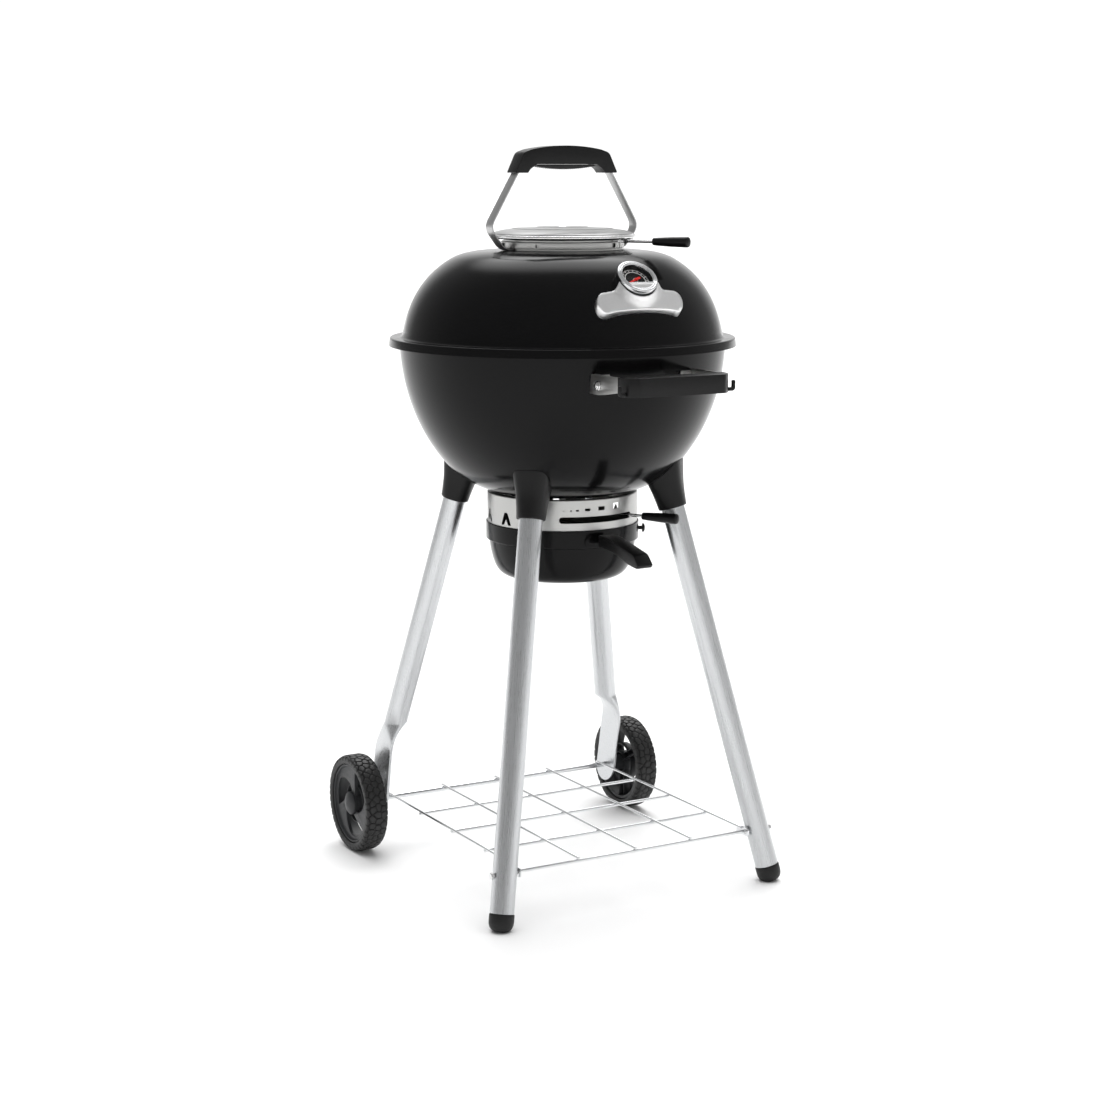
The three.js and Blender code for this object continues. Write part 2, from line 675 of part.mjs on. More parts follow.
// Windows over the slot grow from a dot to full open.
const windows = [
  [-118.7, 1.4, 1.4],
  [-113.2, 2.6, 2],
  [-108.4, 4.6, 2.6],
  [-100.5, 8.6, 4],
  [-89.1, 10.8, 6],
  [-75.1, 12.4, 9],
];
for (const [bearing, wide, tall] of windows) {
  housingCuts.push(bearingBox(bearing, HOUSING_RADIUS, wide, 12, tall, 568.5 + tall / 2));
}
const CHEVRONS = 9;
const CHEVRON_START = -13;
const chevronStep = 206 / (CHEVRONS - 1);
const chevron = [[-10.9, -9.5], [-4.6, -9.5], [0, -0.5], [4.6, -9.5], [10.9, -9.5], [3.4, 9.5], [-3.4, 9.5]];
for (let k = 0; k < CHEVRONS; k++) {
  const shape = frontPlate(chevron, 14, 0);
  shape.translate(0, -HOUSING_RADIUS, 552);
  housingCuts.push(spun(shape, CHEVRON_START + chevronStep * k - FRONT));
}
add('damper_housing', 'steel', cut(solid(housingRing), housingCuts.map(solid)));

const STUD_Z = 527;
const STUD_BEARINGS = [-30, -150, 90];
STUD_BEARINGS.forEach((bearing, k) => {
  const stud = turned([[0, 0.4], [2.8, 0.4], [2.8, 7.4], [6.8, 8], [6.2, 10.6], [3, 12.2], [0, 12.2]], 16);
  const place = polar(HOUSING_RADIUS, bearing, STUD_Z);
  add(`pan_stud_${k + 1}`, 'iron', aimed(stud, polar(1, bearing, 0), place));
});

// ---------------------------------------------------------------- ash pan
const PAN_SHEET = 1.4;
const panOutside = [
  [0, PAN_BOTTOM],
  [62, PAN_BOTTOM],
  ...curve(THREE.CubicBezierCurve, [[74, PAN_BOTTOM + 1.5], [92, 459], [101.5, 468], [107, 488]], 3),
  [110.8, PAN_BAND_BOTTOM - 1],
  [PAN_BAND_RADIUS, PAN_BAND_BOTTOM],
  [PAN_BAND_RADIUS, PAN_BAND_TOP],
];
const panInside = offset(panOutside, PAN_SHEET);
panInside[0] = [0, PAN_BOTTOM + PAN_SHEET];
panInside[panInside.length - 1] = [PAN_BAND_RADIUS - PAN_SHEET, PAN_BAND_TOP];
const panSlots = STUD_BEARINGS.map((bearing) =>
  solid(bearingBox(bearing, PAN_BAND_RADIUS, 7.4, 12, 24, STUD_Z - 3.6 + 12)),
);
add('ash_pan', 'enamel', cut(solid(turned([...panOutside, ...panInside.reverse()])), panSlots));

const PAN_HANDLE_Z = 523;
const bracketWrap = solid(
  turned([
    [PAN_BAND_RADIUS + GAP, PAN_HANDLE_Z - 8.5],
    [PAN_BAND_RADIUS + GAP + 1.6, PAN_HANDLE_Z - 8.5],
    [PAN_BAND_RADIUS + GAP + 1.6, PAN_HANDLE_Z + 8.5],
    [PAN_BAND_RADIUS + GAP, PAN_HANDLE_Z + 8.5],
  ]),
).intersect(solid(sector(140, FRONT - 13, FRONT + 13, PAN_HANDLE_Z - 10, PAN_HANDLE_Z + 10)));
const tongue = [
  [-PAN_BAND_RADIUS - 1, 527],
  [-PAN_BAND_RADIUS - 1, 530],
  [-148, 528.4],
  [-186, 522],
  [-186, 519],
  [-148, 525.4],
];
add('ash_pan_handle_bracket', 'enamel', bracketWrap.add(solid(sidePlate(tongue, 18, 0))));
const panGrip = [
  [-128, 518],
  [-128, 535],
  [-152, 534.5],
  [-226, 520],
  [-240, 506],
  [-235, 501],
  [-214, 503],
  [-170, 514.5],
];
const gripSlot = [
  [-120, 530.2 + GAP],
  [-148, 528.4 + GAP],
  [-187, 521.8 + GAP],
  [-187, 518.8 - GAP],
  [-148, 525.4 - GAP],
  [-120, 526.7 - GAP],
];
add(
  'ash_pan_handle_grip',
  'plastic',
  solid(sidePlate(panGrip, 25, 0)).subtract(solid(sidePlate(gripSlot, 18 + 2 * GAP, 0))),
);

// ---------------------------------------------------------------- front handle
const ARM_THICK = 2.5;
const ARM_BACK = -221; // where the arms meet the bowl
const GRIP_BACK = -300;
const ARM_TANG = 11; // how far the arms run into the grip
const GRIP_HEIGHT = 26;
const ARM_TOP = HANDLE_Z + 12.5;
const armOutline = [
  [ARM_BACK, 754],
  [ARM_BACK, ARM_TOP - 8],
  [ARM_BACK - 8, ARM_TOP],
  [GRIP_BACK - ARM_TANG, ARM_TOP],
  [GRIP_BACK - ARM_TANG, 761],
  [GRIP_BACK + 4, 761],
  [GRIP_BACK + 30, 757],
  [ARM_BACK - 24, 754],
];
const handleHalf = [
  [69.5, -HANDLE_REACH],
  [80.5, -HANDLE_REACH + 9.5],
  [84.8, GRIP_BACK - ARM_TANG],
  [85.5, GRIP_BACK],
];
const handlePlan = [...handleHalf, ...[...handleHalf].reverse().map(([x, y]) => [-x, y])];
let handleGrip = solid(moved(plate(handlePlan, GRIP_HEIGHT), 0, 0, HANDLE_Z - GRIP_HEIGHT / 2));
const footSkin = solid(
  turned([[0, BOWL_HIP], ...offset(bowlOutside, -GAP - ARM_THICK).slice(5), [0, BOWL_WALL_TOP]]),
).subtract(bowlSpace);
const HANDLE_BOLT = { y: -246, z: 767 };
const hookOutline = [
  [0, 758],
  [8, 758],
  [10.8, 761],
  [10.8, 773],
  [6.6, 773],
  [6.6, 763],
  [0, 763],
];
for (const [side, name] of [[-1, 'left'], [1, 'right']]) {
  const x = side * HANDLE_ARM_X;
  const { y, z } = HANDLE_BOLT;
  // The end of each arm is turned inwards and lies on the bowl.
  const foot = solid(box(24, 30, 26, x - side * 11.9, ARM_BACK + 1, 768)).intersect(footSkin);
  const arm = solid(sidePlate(armOutline, ARM_THICK, x)).subtract(bowlSpace).add(foot);
  const armHoles = [
    rod(v3(x - side * 14, -190, 768), v3(x - side * 14, -250, 768), 3.3),
    rod(v3(x - 6, y, z), v3(x + 6, y, z), 3.3),
  ];
  add(`handle_arm_${name}`, 'steel', largest(cut(arm, armHoles.map(solid))));
  const face = ARM_THICK / 2 + GAP;
  const bolt = [
    rod(v3(x - face - 5, y, z), v3(x + face + 5, y, z), 2.9),
    rod(v3(x - face - 4.5, y, z), v3(x - face, y, z), 5.8, 6),
    rod(v3(x + face, y, z), v3(x + face + 4.5, y, z), 5.8, 6),
  ];
  add(`handle_bolt_${name}`, 'steel', joined(bolt.map(solid)));
  const slotRoom = box(ARM_THICK + 2 * GAP, 2 * (ARM_TANG + GAP), 24, x, GRIP_BACK, 772.7);
  handleGrip = handleGrip.subtract(solid(slotRoom));
  const hook = frontPlate(hookOutline, 5, -318);
  if (side < 0) hook.scale(-1, 1, 1);
  add(`tool_hook_${name}`, 'plastic', moved(hook, side * (83.3 + GAP), 0, 0));
}
add('front_handle_grip', 'plastic', handleGrip);

// ---------------------------------------------------------------- legs
const LEG_BEARINGS = { front_left: 225, front_right: 315, rear_left: 135, rear_right: 45 };
const legPoint = (bearing, z) => polar(LEG_FOOT_REACH - LEG_SLOPE * z, bearing, z);
const legUp = (bearing) => polar(-LEG_SLOPE, bearing, 1).normalize();
const CAP_LIP = 24; // height of a front tube's end over the floor

// Rings of points skinned into a closed body, from the lowest up.
function skinned(rings) {
  const count = rings[0].length;
  const place = rings.flat().flatMap((point) => point.toArray());
  const index = [];
  for (let i = 0; i < rings.length - 1; i++) {
    for (let k = 0; k < count; k++) {
      const a = i * count + k;
      const b = i * count + ((k + 1) % count);
      index.push(a, b, b + count);
      index.push(a, b + count, a + count);
    }
  }
  const top = (rings.length - 1) * count;
  for (let k = 1; k < count - 1; k++) {
    index.push(0, k + 1, k);
    index.push(top, top + k, top + k + 1);
  }
  const geometry = new THREE.BufferGeometry();
  geometry.setAttribute('position', new THREE.Float32BufferAttribute(place, 3));
  geometry.setIndex(index);
  return geometry;
}

// A leg's tube as level sections at the given heights. Each point of a section is given as the
// leg's centre and the way out from it, for `shaped` to place.
const RING_POINTS = 16;
function legSkin(bearing, radius, heights, shaped = (centre, away) => centre.add(away)) {
  const up = legUp(bearing);
  const across = polar(1, bearing + 90, 0);
  const inward = across.clone().cross(up);
  const rings = heights.map((z) =>
    Array.from({ length: RING_POINTS }, (_, k) => {
      const turn = (k / RING_POINTS) * 2 * Math.PI;
      const away = across.clone().multiplyScalar(radius * Math.cos(turn));
      away.addScaledVector(inward, radius * Math.sin(turn));
      away.addScaledVector(up, -away.z / up.z);
      return shaped(legPoint(bearing, z), away, z);
    }),
  );
  return solid(skinned(rings));
}

// The rear tubes are squashed to an upright plate with a round end for the axle.
function squashed(side) {
  return (centre, away, z) => {
    const along = THREE.MathUtils.clamp((FLAT_TOP - z) / (FLAT_TOP - FLAT_FULL), 0, 1);
    const blend = along * along * (3 - 2 * along);
    const below = Math.max(WHEEL_RADIUS - z, 0);
    const half = Math.sqrt(FLAT_HALF ** 2 - below ** 2);
    const flatX = side * FLAT_X + THREE.MathUtils.clamp(away.x * 0.6, -FLAT_THICK / 2, FLAT_THICK / 2);
    const flatY = centre.y + (away.y / LEG_TUBE) * half * 0.96;
    const x = THREE.MathUtils.lerp(centre.x + away.x, flatX, blend);
    const y = THREE.MathUtils.lerp(centre.y + away.y, flatY, blend);
    return v3(x, y, z);
  };
}
const ROUND_END = [75, 55, 35, 15].map((angle) => WHEEL_RADIUS - FLAT_HALF * Math.sin(angle * RAD));
const SQUASH = [0, 0.2, 0.4, 0.6, 0.8, 1].map((t) => FLAT_FULL + t * (FLAT_TOP - FLAT_FULL));
const SHELF_BOLT = { y: legPoint(315, 78).y, z: 78, x: legPoint(315, 78).x };
for (const [name, bearing] of Object.entries(LEG_BEARINGS)) {
  const side = name.endsWith('left') ? -1 : 1;
  if (name.startsWith('rear')) {
    const heights = [...ROUND_END, WHEEL_RADIUS + 6, ...SQUASH, LEG_TOP];
    const leg = legSkin(bearing, LEG_TUBE, heights, squashed(side));
    const bore = legSkin(bearing, LEG_TUBE - LEG_WALL, [FLAT_TOP + 6, LEG_TOP + 30]);
    const axleHole = rod(
      v3(side * (FLAT_X - 20), AXLE_Y, WHEEL_RADIUS),
      v3(side * (FLAT_X + 20), AXLE_Y, WHEEL_RADIUS),
      AXLE_RADIUS + GAP,
      16,
    );
    add(`leg_${name}`, 'tube', cut(leg, [bore, solid(axleHole)]));
  } else {
    const leg = legSkin(bearing, LEG_TUBE, [-10, LEG_TOP]);
    const bore = legSkin(bearing, LEG_TUBE - LEG_WALL, [-20, LEG_TOP + 30]);
    const { x, y, z } = SHELF_BOLT;
    const boltHole = rod(v3(side * (x - 30), y, z), v3(side * (x + 30), y, z), 3.3);
    const belowEnd = aimed(box(80, 80, 60, 0, 0, -30), legUp(bearing), legPoint(bearing, CAP_LIP));
    add(`leg_${name}`, 'tube', cut(leg, [bore, solid(boltHole), solid(belowEnd)]));
  }
}

// Sockets: cones round the tops of the tubes, wider along the radius, trimmed by the bowl.
const socketOutline = [
  [0, 0],
  [21.2, 0],
  [22.2, 12],
  [26, 40],
  [32, 66],
  [35, 84],
  [0, 84],
];
for (const [name, bearing] of Object.entries(LEG_BEARINGS)) {
  const cone = turned(socketOutline, 20);
  const place = cone.getAttribute('position');
  for (let i = 0; i < place.count; i++) {
    place.setY(i, place.getY(i) * (1 - 0.1 * Math.min(place.getZ(i) / 66, 1)));
  }
  aimed(spun(cone, bearing), legUp(bearing), legPoint(bearing, SOCKET_BOTTOM));
  const room = legSkin(bearing, LEG_TUBE + GAP, [SOCKET_BOTTOM - 20, LEG_TOP + GAP]);
  add(`leg_socket_${name}`, 'plastic', largest(cut(solid(cone), [bowlSpace, room])));
}

// Rubber feet: a ball end with a plug up the tube, flat where it stands.
const FOOT_BALL = 18.2;
const capTop = CAP_LIP / legUp(315).z - GAP;
const footOutline = [];
for (let angle = -90; angle <= 0; angle += 22.5) {
  const r = FOOT_BALL * Math.cos(angle * RAD);
  footOutline.push([angle > -90 ? r : 0, 17 + FOOT_BALL * Math.sin(angle * RAD)]);
}
const FOOT_PLUG = LEG_TUBE - LEG_WALL - GAP;
footOutline.push([FOOT_BALL, capTop], [FOOT_PLUG, capTop], [FOOT_PLUG, 40], [0, 40]);
for (const name of ['front_left', 'front_right']) {
  const bearing = LEG_BEARINGS[name];
  const foot = aimed(turned(footOutline, 20), legUp(bearing), legPoint(bearing, 0));
  const underFloor = moved(box(80, 80, 40, 0, 0, -20), ...legPoint(bearing, 0));
  add(`foot_cap_${name}`, 'rubber', solid(foot).subtract(solid(underFloor)));
}

// ---------------------------------------------------------------- wheels
const AXLE_REACH = WHEEL_X + 14.6;
const axleEnds = [-AXLE_REACH, AXLE_REACH].map((x) => v3(x, AXLE_Y, WHEEL_RADIUS));
const axle = rod(...axleEnds, AXLE_RADIUS, 16);
add('wheel_axle', 'wire', axle);
// Sections run along the wheel's own axis, outwards from the grill.
const HALF = WHEEL_WIDTH / 2;
const tyreSection = [
  [HUB_RADIUS + GAP, -HALF + 4],
  [HUB_RADIUS + 4, -HALF],
  [WHEEL_RADIUS - 8, -HALF],
  [WHEEL_RADIUS, -HALF + 9],
  [WHEEL_RADIUS, HALF - 9],
  [WHEEL_RADIUS - 8, HALF],
  [HUB_RADIUS + 4, HALF],
  [HUB_RADIUS + GAP, HALF - 4],
];
const BOSS = 14;
const WEB = { low: HALF - 12, high: HALF - 7 };
const hubSection = [
  [AXLE_RADIUS + GAP, -31],
  [BOSS - 2, -31],
  [BOSS, WEB.low],
  [HUB_RADIUS - 5, WEB.low],
  [HUB_RADIUS - 5, -HALF + 4],
  [HUB_RADIUS, -HALF + 4],
  [HUB_RADIUS, HALF - 4],
  [HUB_RADIUS - 4, HALF - 3],
  [HUB_RADIUS - 7, WEB.high],
  [AXLE_RADIUS + GAP, WEB.high],
];
// One opening: a straight edge beside the boss, an arc along the rim and a round end at the boss.
const HUB_CAP = 18.3;
const opening = [];
for (let turn = 78; turn >= 26; turn -= 13) {
  opening.push([(HUB_RADIUS - 9) * Math.sin(turn * RAD), -(HUB_RADIUS - 9) * Math.cos(turn * RAD)]);
}
opening.push([5, -43.5], [-6, -33.5], [-11, -22], [-10, -15.4]);
for (let turn = -10; turn <= 50; turn += 20) {
  opening.push([HUB_CAP * Math.sin(turn * RAD), -HUB_CAP * Math.cos(turn * RAD)]);
}
const hubCapSection = [
  [AXLE_RADIUS + GAP, WEB.high + GAP],
  [HUB_CAP, WEB.high + GAP],
  [HUB_CAP, WEB.high + 3.6],
  [13, HALF + 0.6],
  [6, HALF + 2.6],
  [0, HALF + 3],
  [0, AXLE_REACH - WHEEL_X + GAP],
  [AXLE_RADIUS + GAP, AXLE_REACH - WHEEL_X + GAP],
];
for (const [side, name] of [[-1, 'left'], [1, 'right']]) {
  const onAxle = (geometry) => {
    geometry.rotateY((side * Math.PI) / 2);
    return moved(geometry, side * WHEEL_X, AXLE_Y, WHEEL_RADIUS);
  };
  add(`wheel_tyre_${name}`, 'rubber', onAxle(turned(tyreSection)));
  const holes = [0, 120, 240].map((bearing) => solid(spun(moved(plate(opening, 60), 0, 0, -30), bearing)));
  const ribs = [0, 120, 240].map((bearing) => solid(bearingBox(bearing, 34, 3, 45, 12, WEB.low - 5)));
  const hub = joined([cut(solid(turned(hubSection, 24)), holes), ...ribs]);
  add(`wheel_hub_${name}`, 'hub', onAxle(geometryOf(hub)));
  add(`wheel_cap_${name}`, 'hub', onAxle(turned(hubCapSection, 16)));
}

// ---------------------------------------------------------------- shelf
const LONG_WIRE = { radius: 2, z: WHEEL_RADIUS + AXLE_RADIUS + GAP + 2 };
const CROSS_WIRE = { radius: 2.5, z: LONG_WIRE.z - 4.2 };
const EAR_FACE = SHELF_BOLT.x - LEG_TUBE - 3; // outer face of the ears, beside the front legs
const EAR_THICK = 2;
const LONG_WIRE_X = EAR_FACE - EAR_THICK - LONG_WIRE.radius + 0.3;
const shelfWires = [-1, -0.5, 0, 0.5, 1].map((part) => {
  const front = Math.abs(part) === 1 ? SHELF_BOLT.y + 8 : SHELF_BOLT.y - 2;
  const x = part * LONG_WIRE_X;
  return rod(v3(x, front, LONG_WIRE.z), v3(x, AXLE_Y + 4, LONG_WIRE.z), LONG_WIRE.radius, 8);
});
for (let y = 105; y > -220; y -= 107) {
  const reach = LONG_WIRE_X + 1;
  shelfWires.push(rod(v3(-reach, y, CROSS_WIRE.z), v3(reach, y, CROSS_WIRE.z), CROSS_WIRE.radius, 8));
}
for (const side of [-1, 1]) {
  shelfWires.push(box(EAR_THICK, 32, 14, side * (EAR_FACE - EAR_THICK / 2), SHELF_BOLT.y + 8, 77.5));
}
const earHoles = [-1, 1].map((side) => {
  const { x, y, z } = SHELF_BOLT;
  return solid(rod(v3(side * (EAR_FACE - 2.5), y, z), v3(side * x, y, z), 3.3));
});
add('shelf_rack', 'wire', cut(joined(shelfWires.map(solid)), earHoles));
for (const [side, name] of [[-1, 'left'], [1, 'right']]) {
  const head = SHELF_BOLT.x + LEG_TUBE + 1.5;
  const at = (x) => v3(side * x, SHELF_BOLT.y, SHELF_BOLT.z);
  const bolt = [rod(at(EAR_FACE - 1.5), at(head + 0.2), 2.9), rod(at(head), at(head + 4), 5, 6)];
  add(`shelf_bolt_${name}`, 'steel', joined(bolt.map(solid)));
}

export default grill;
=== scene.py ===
"""Kettle charcoal grill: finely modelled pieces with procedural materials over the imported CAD."""

import json
import math

import bmesh
import bpy
import numpy as np
from mathutils import Matrix, Vector
from mathutils.geometry import delaunay_2d_cdt


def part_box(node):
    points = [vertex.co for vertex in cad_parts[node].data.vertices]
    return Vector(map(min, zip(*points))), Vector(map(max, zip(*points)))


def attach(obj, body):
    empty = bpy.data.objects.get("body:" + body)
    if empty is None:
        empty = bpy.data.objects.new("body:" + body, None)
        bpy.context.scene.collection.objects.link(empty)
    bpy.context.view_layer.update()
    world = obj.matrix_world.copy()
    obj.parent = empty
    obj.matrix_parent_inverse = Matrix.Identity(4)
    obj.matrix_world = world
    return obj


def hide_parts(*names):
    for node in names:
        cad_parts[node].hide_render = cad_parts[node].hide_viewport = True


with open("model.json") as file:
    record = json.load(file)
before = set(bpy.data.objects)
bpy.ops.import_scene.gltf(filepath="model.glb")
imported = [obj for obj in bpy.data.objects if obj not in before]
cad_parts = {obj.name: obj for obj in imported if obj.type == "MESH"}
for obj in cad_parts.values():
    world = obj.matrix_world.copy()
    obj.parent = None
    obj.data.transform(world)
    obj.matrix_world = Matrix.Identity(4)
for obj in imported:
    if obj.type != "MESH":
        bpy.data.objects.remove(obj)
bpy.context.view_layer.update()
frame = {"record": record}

# Shapes are drawn in millimetres about the kettle's own upright axis, which AXIS places.
MM = 0.001
bowl_low, bowl_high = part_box("bowl_shell")
AXIS = Vector(((bowl_low.x + bowl_high.x) / 2, (bowl_low.y + bowl_high.y) / 2, 0))
BODY_OF = {n: b for b, ns in frame["record"]["behaviour"]["bodies"].items() for n in ns}
SLOT_OF = {part["node"]: part["material_slot"] for part in frame["record"]["subparts"]}

WELD = 2e-7  # metres: closer points become one
BEVELLED_FROM = 34  # degrees: edges sharper than this are bevelled
BUMP_DEPTH = 0.0002  # metres: relief of the materials' fine texture

# Bearings of what is spaced round the kettle or a wheel, in degrees.
QUARTERS = (45, 135, 225, 315)
THIRDS = (0, 120, 240)
PAN_STUDS = (-30, -150, 90)
SIDES = ((-1, "left"), (1, "right"))


# ------------------------ shapes
class Shape:
    """Points and faces that grow into one mesh."""

    def __init__(self, points=(), faces=()):
        self.points = [Vector(p) for p in points]
        self.faces = [list(f) for f in faces]

    def add(self, other, place=None):
        base = len(self.points)
        self.points += [place @ p if place else p.copy() for p in other.points]
        self.faces += [[base + i for i in face] for face in other.faces]
        return self

    def moved(self, place):
        return Shape().add(self, place)


def joined(shapes):
    """Several shapes as one."""
    whole = Shape()
    for shape in shapes:
        whole.add(shape)
    return whole


def radians(degrees):
    return degrees * math.pi / 180


def polar(radius, bearing, z=0):
    """A point round the kettle's axis. Bearings are degrees, with the front at -90."""
    angle = radians(bearing)
    return Vector((radius * math.cos(angle), radius * math.sin(angle), z))


def spun(bearing):
    """A turn about the upright axis."""
    return Matrix.Rotation(radians(bearing), 4, "Z")


def aimed(point, direction):
    """A frame at a point whose z axis runs in a direction."""
    turn = Vector(direction).to_track_quat("Z", "Y").to_matrix().to_4x4()
    return Matrix.Translation(Vector(point)) @ turn


def turned(outline, segments=144, start=0, sweep=360, closed=True):
    """A lathed body. With a sweep under 360 its two ends are capped."""
    whole = sweep >= 360
    count = segments if whole else segments + 1
    shape = Shape()
    rings = []
    for r, z in outline:
        first = len(shape.points)
        if r < 1e-6:
            shape.points.append(Vector((0, 0, z)))
            rings.append([first] * count)
        else:
            turn = [start + sweep * k / segments for k in range(count)]
            shape.points += [polar(r, bearing, z) for bearing in turn]
            rings.append(list(range(first, first + count)))
    pairs = list(zip(rings, rings[1:]))
    if closed:
        pairs.append((rings[-1], rings[0]))
    for a, b in pairs:
        for k in range(segments):
            j = (k + 1) % count
            face = list(dict.fromkeys([a[k], a[j], b[j], b[k]]))
            if len(face) > 2:
                shape.faces.append(face)
    if not whole:
        shape.faces.append([ring[0] for ring in rings])
        shape.faces.append([ring[-1] for ring in reversed(rings)])
    return shape


def solid(outline, segments):
    """A lathed body whose outline's end isn't joined to its start, mostly since both are on the axis."""
    return turned(outline, segments, closed=False)


def prism(outline, low, high, plane="xy"):
    """An outline given thickness: xy is a plan, xz is seen from the front, yz from the side."""
    orders = {
        "xy": lambda a, b, t: (a, b, t),
        "xz": lambda a, b, t: (a, t, b),
        "yz": lambda a, b, t: (t, a, b),
    }
    order = orders[plane]
    n = len(outline)
    points = [order(a, b, t) for t in (low, high) for a, b in outline]
    walls = [[i, (i + 1) % n, n + (i + 1) % n, n + i] for i in range(n)]
    return Shape(points, [list(range(n)), list(range(2 * n - 1, n - 1, -1))] + walls)


def block(wide, deep, tall, x=0, y=0, z=0):
    """A box about its middle."""
    w, d, h = wide / 2, deep / 2, tall / 2
    return prism([(x - w, y - d), (x + w, y - d), (x + w, y + d), (x - w, y + d)], z - h, z + h)


def bearing_block(bearing, radius, wide, deep, tall, z):
    """A box that faces outwards, deep along the radius."""
    return block(deep, wide, tall, radius, 0, z).moved(spun(bearing))


def rod(a, b, radius, segments=28, soft=0.5):
    """A round bar with softened ends."""
    a, b = Vector(a), Vector(b)
    long = (b - a).length
    curve = [(radius - soft + soft * math.sin(t), soft - soft * math.cos(t)) for t in (0, 0.52, 1.05, 1.57)]
    outline = [(0, 0)] + curve + [(r, long - z) for r, z in reversed(curve)] + [(0, long)]
    return solid(outline, segments).moved(aimed(a, b - a))


def hexagon(a, b, radius, washer=0):
    """A hexagon head from a to b with a chamfered face, and a washer under it if asked for."""
    a, b = Vector(a), Vector(b)
    long = (b - a).length
    outline = [(0, 0), (radius, 0), (radius, long - 0.7), (radius * 0.84, long), (0, long)]
    shape = solid(outline, 6)
    if washer:
        shape.add(solid([(0, 0), (washer, 0), (washer, 0.8), (washer - 0.3, 1), (0, 1)], 32))
    return shape.moved(aimed(a, b - a))


def ring_faces(rings, around, closed=False):
    """The faces over points stored ring after ring. An open body's two end rings are capped."""
    faces = []
    for i in range(rings if closed else rings - 1):
        a, b = i * around, (i + 1) % rings * around
        faces += [[a + k, a + (k + 1) % around, b + (k + 1) % around, b + k] for k in range(around)]
    if not closed:
        faces.append(list(range(around)))
        faces.append(list(range(rings * around - 1, (rings - 1) * around - 1, -1)))
    return faces


def swept(path, radius, segments=12, closed=False):
    """A round wire along a path."""
    path = [Vector(p) for p in path]
    n = len(path)
    shape = Shape()
    normal = None
    for i, point in enumerate(path):
        ahead = path[(i + 1) % n] if closed or i < n - 1 else point
        behind = path[i - 1] if closed or i else point
        along = (ahead - behind).normalized()
        if normal is None:
            normal = along.orthogonal().normalized()
        normal = (normal - along * normal.dot(along)).normalized()
        side = along.cross(normal)
        for k in range(segments):
            turn = 2 * math.pi * k / segments
            shape.points.append(point + (normal * math.cos(turn) + side * math.sin(turn)) * radius)
    shape.faces = ring_faces(n, segments, closed)
    return shape


def fillet(corners, radius, steps=6, closed=True):
    """Rounds the corners of an outline. radius is one number, or one for each corner."""
    n = len(corners)
    sizes = [radius] * n if isinstance(radius, (int, float)) else radius
    points = []
    for i, corner in enumerate(corners):
        here = Vector(corner)
        if sizes[i] <= 0 or (not closed and i in (0, n - 1)):
            points.append(tuple(here))
            continue
        back = Vector(corners[i - 1]) - here
        ahead = Vector(corners[(i + 1) % n]) - here
        trim = min(sizes[i], back.length * 0.49, ahead.length * 0.49)
        a, b = here + back.normalized() * trim, here + ahead.normalized() * trim
        points += bezier([a, here, b], steps)
    return points


def bezier(pulls, steps):
    """A Bezier curve of any order, from its control points."""
    points = []
    for k in range(steps + 1):
        t = k / steps
        level = [Vector(p) for p in pulls]
        while len(level) > 1:
            level = [a.lerp(b, t) for a, b in zip(level, level[1:])]
        points.append(tuple(level[0]))
    return points


def arc(x, y, radius, start, end, steps):
    turn = [radians(start + (end - start) * k / steps) for k in range(steps + 1)]
    return [(x + radius * math.cos(t), y + radius * math.sin(t)) for t in turn]


def offset(outline, distance, closed=False, inmost=0.0):
    """Moves an outline to its left. inmost is the lowest x allowed: 0 for what is lathed."""
    n = len(outline)
    moved = []
    for i, (x, y) in enumerate(outline):
        before = outline[i - 1 if closed else max(i - 1, 0)]
        after = outline[(i + 1) % n if closed else min(i + 1, n - 1)]
        dx, dy = after[0] - before[0], after[1] - before[1]
        long = math.hypot(dx, dy)
        moved.append((max(x - dy / long * distance, inmost), y + dx / long * distance))
    return moved


def resampled(line, step):
    """A line with points added on its longer stretches, at least step apart."""
    points = []
    for (ax, ay), (bx, by) in zip(line, line[1:]):
        count = max(int(math.dist((ax, ay), (bx, by)) / step), 1)
        points += [(ax + (bx - ax) * k / count, ay + (by - ay) * k / count) for k in range(count)]
    return points + [line[-1]]


def mirrored(half):
    """An outline made whole about x = 0 from its right half."""
    return half + [(-x, y) for x, y in reversed(half) if abs(x) > 1e-6]


def dome_radius(dome, z):
    """The radius at a height of a dome (a, b, z0, n), where (r / a)^n + (|z - z0| / b)^n = 1."""
    a, b, z0, n = dome
    return a * (1 - (abs(z - z0) / b) ** n) ** (1 / n)


def dome_outline(dome, start, end, steps):
    levels = [start + (end - start) * k / steps for k in range(steps + 1)]
    return [(dome_radius(dome, z), z) for z in levels]


def mesh_of(name, shape, place=None):
    """A mesh in metres with its seams welded and its normals outward."""
    mesh = bpy.data.meshes.new(name)
    points = [tuple((place @ p if place else p) * MM) for p in shape.points]
    mesh.from_pydata(points, [], shape.faces)
    work = bmesh.new()
    work.from_mesh(mesh)
    bmesh.ops.remove_doubles(work, verts=work.verts, dist=WELD)
    bmesh.ops.recalc_face_normals(work, faces=work.faces)
    work.to_mesh(mesh)
    work.free()
    return mesh


def in_scene(name, data):
    """A new object in the scene."""
    obj = bpy.data.objects.new(name, data)
    bpy.context.scene.collection.objects.link(obj)
    return obj


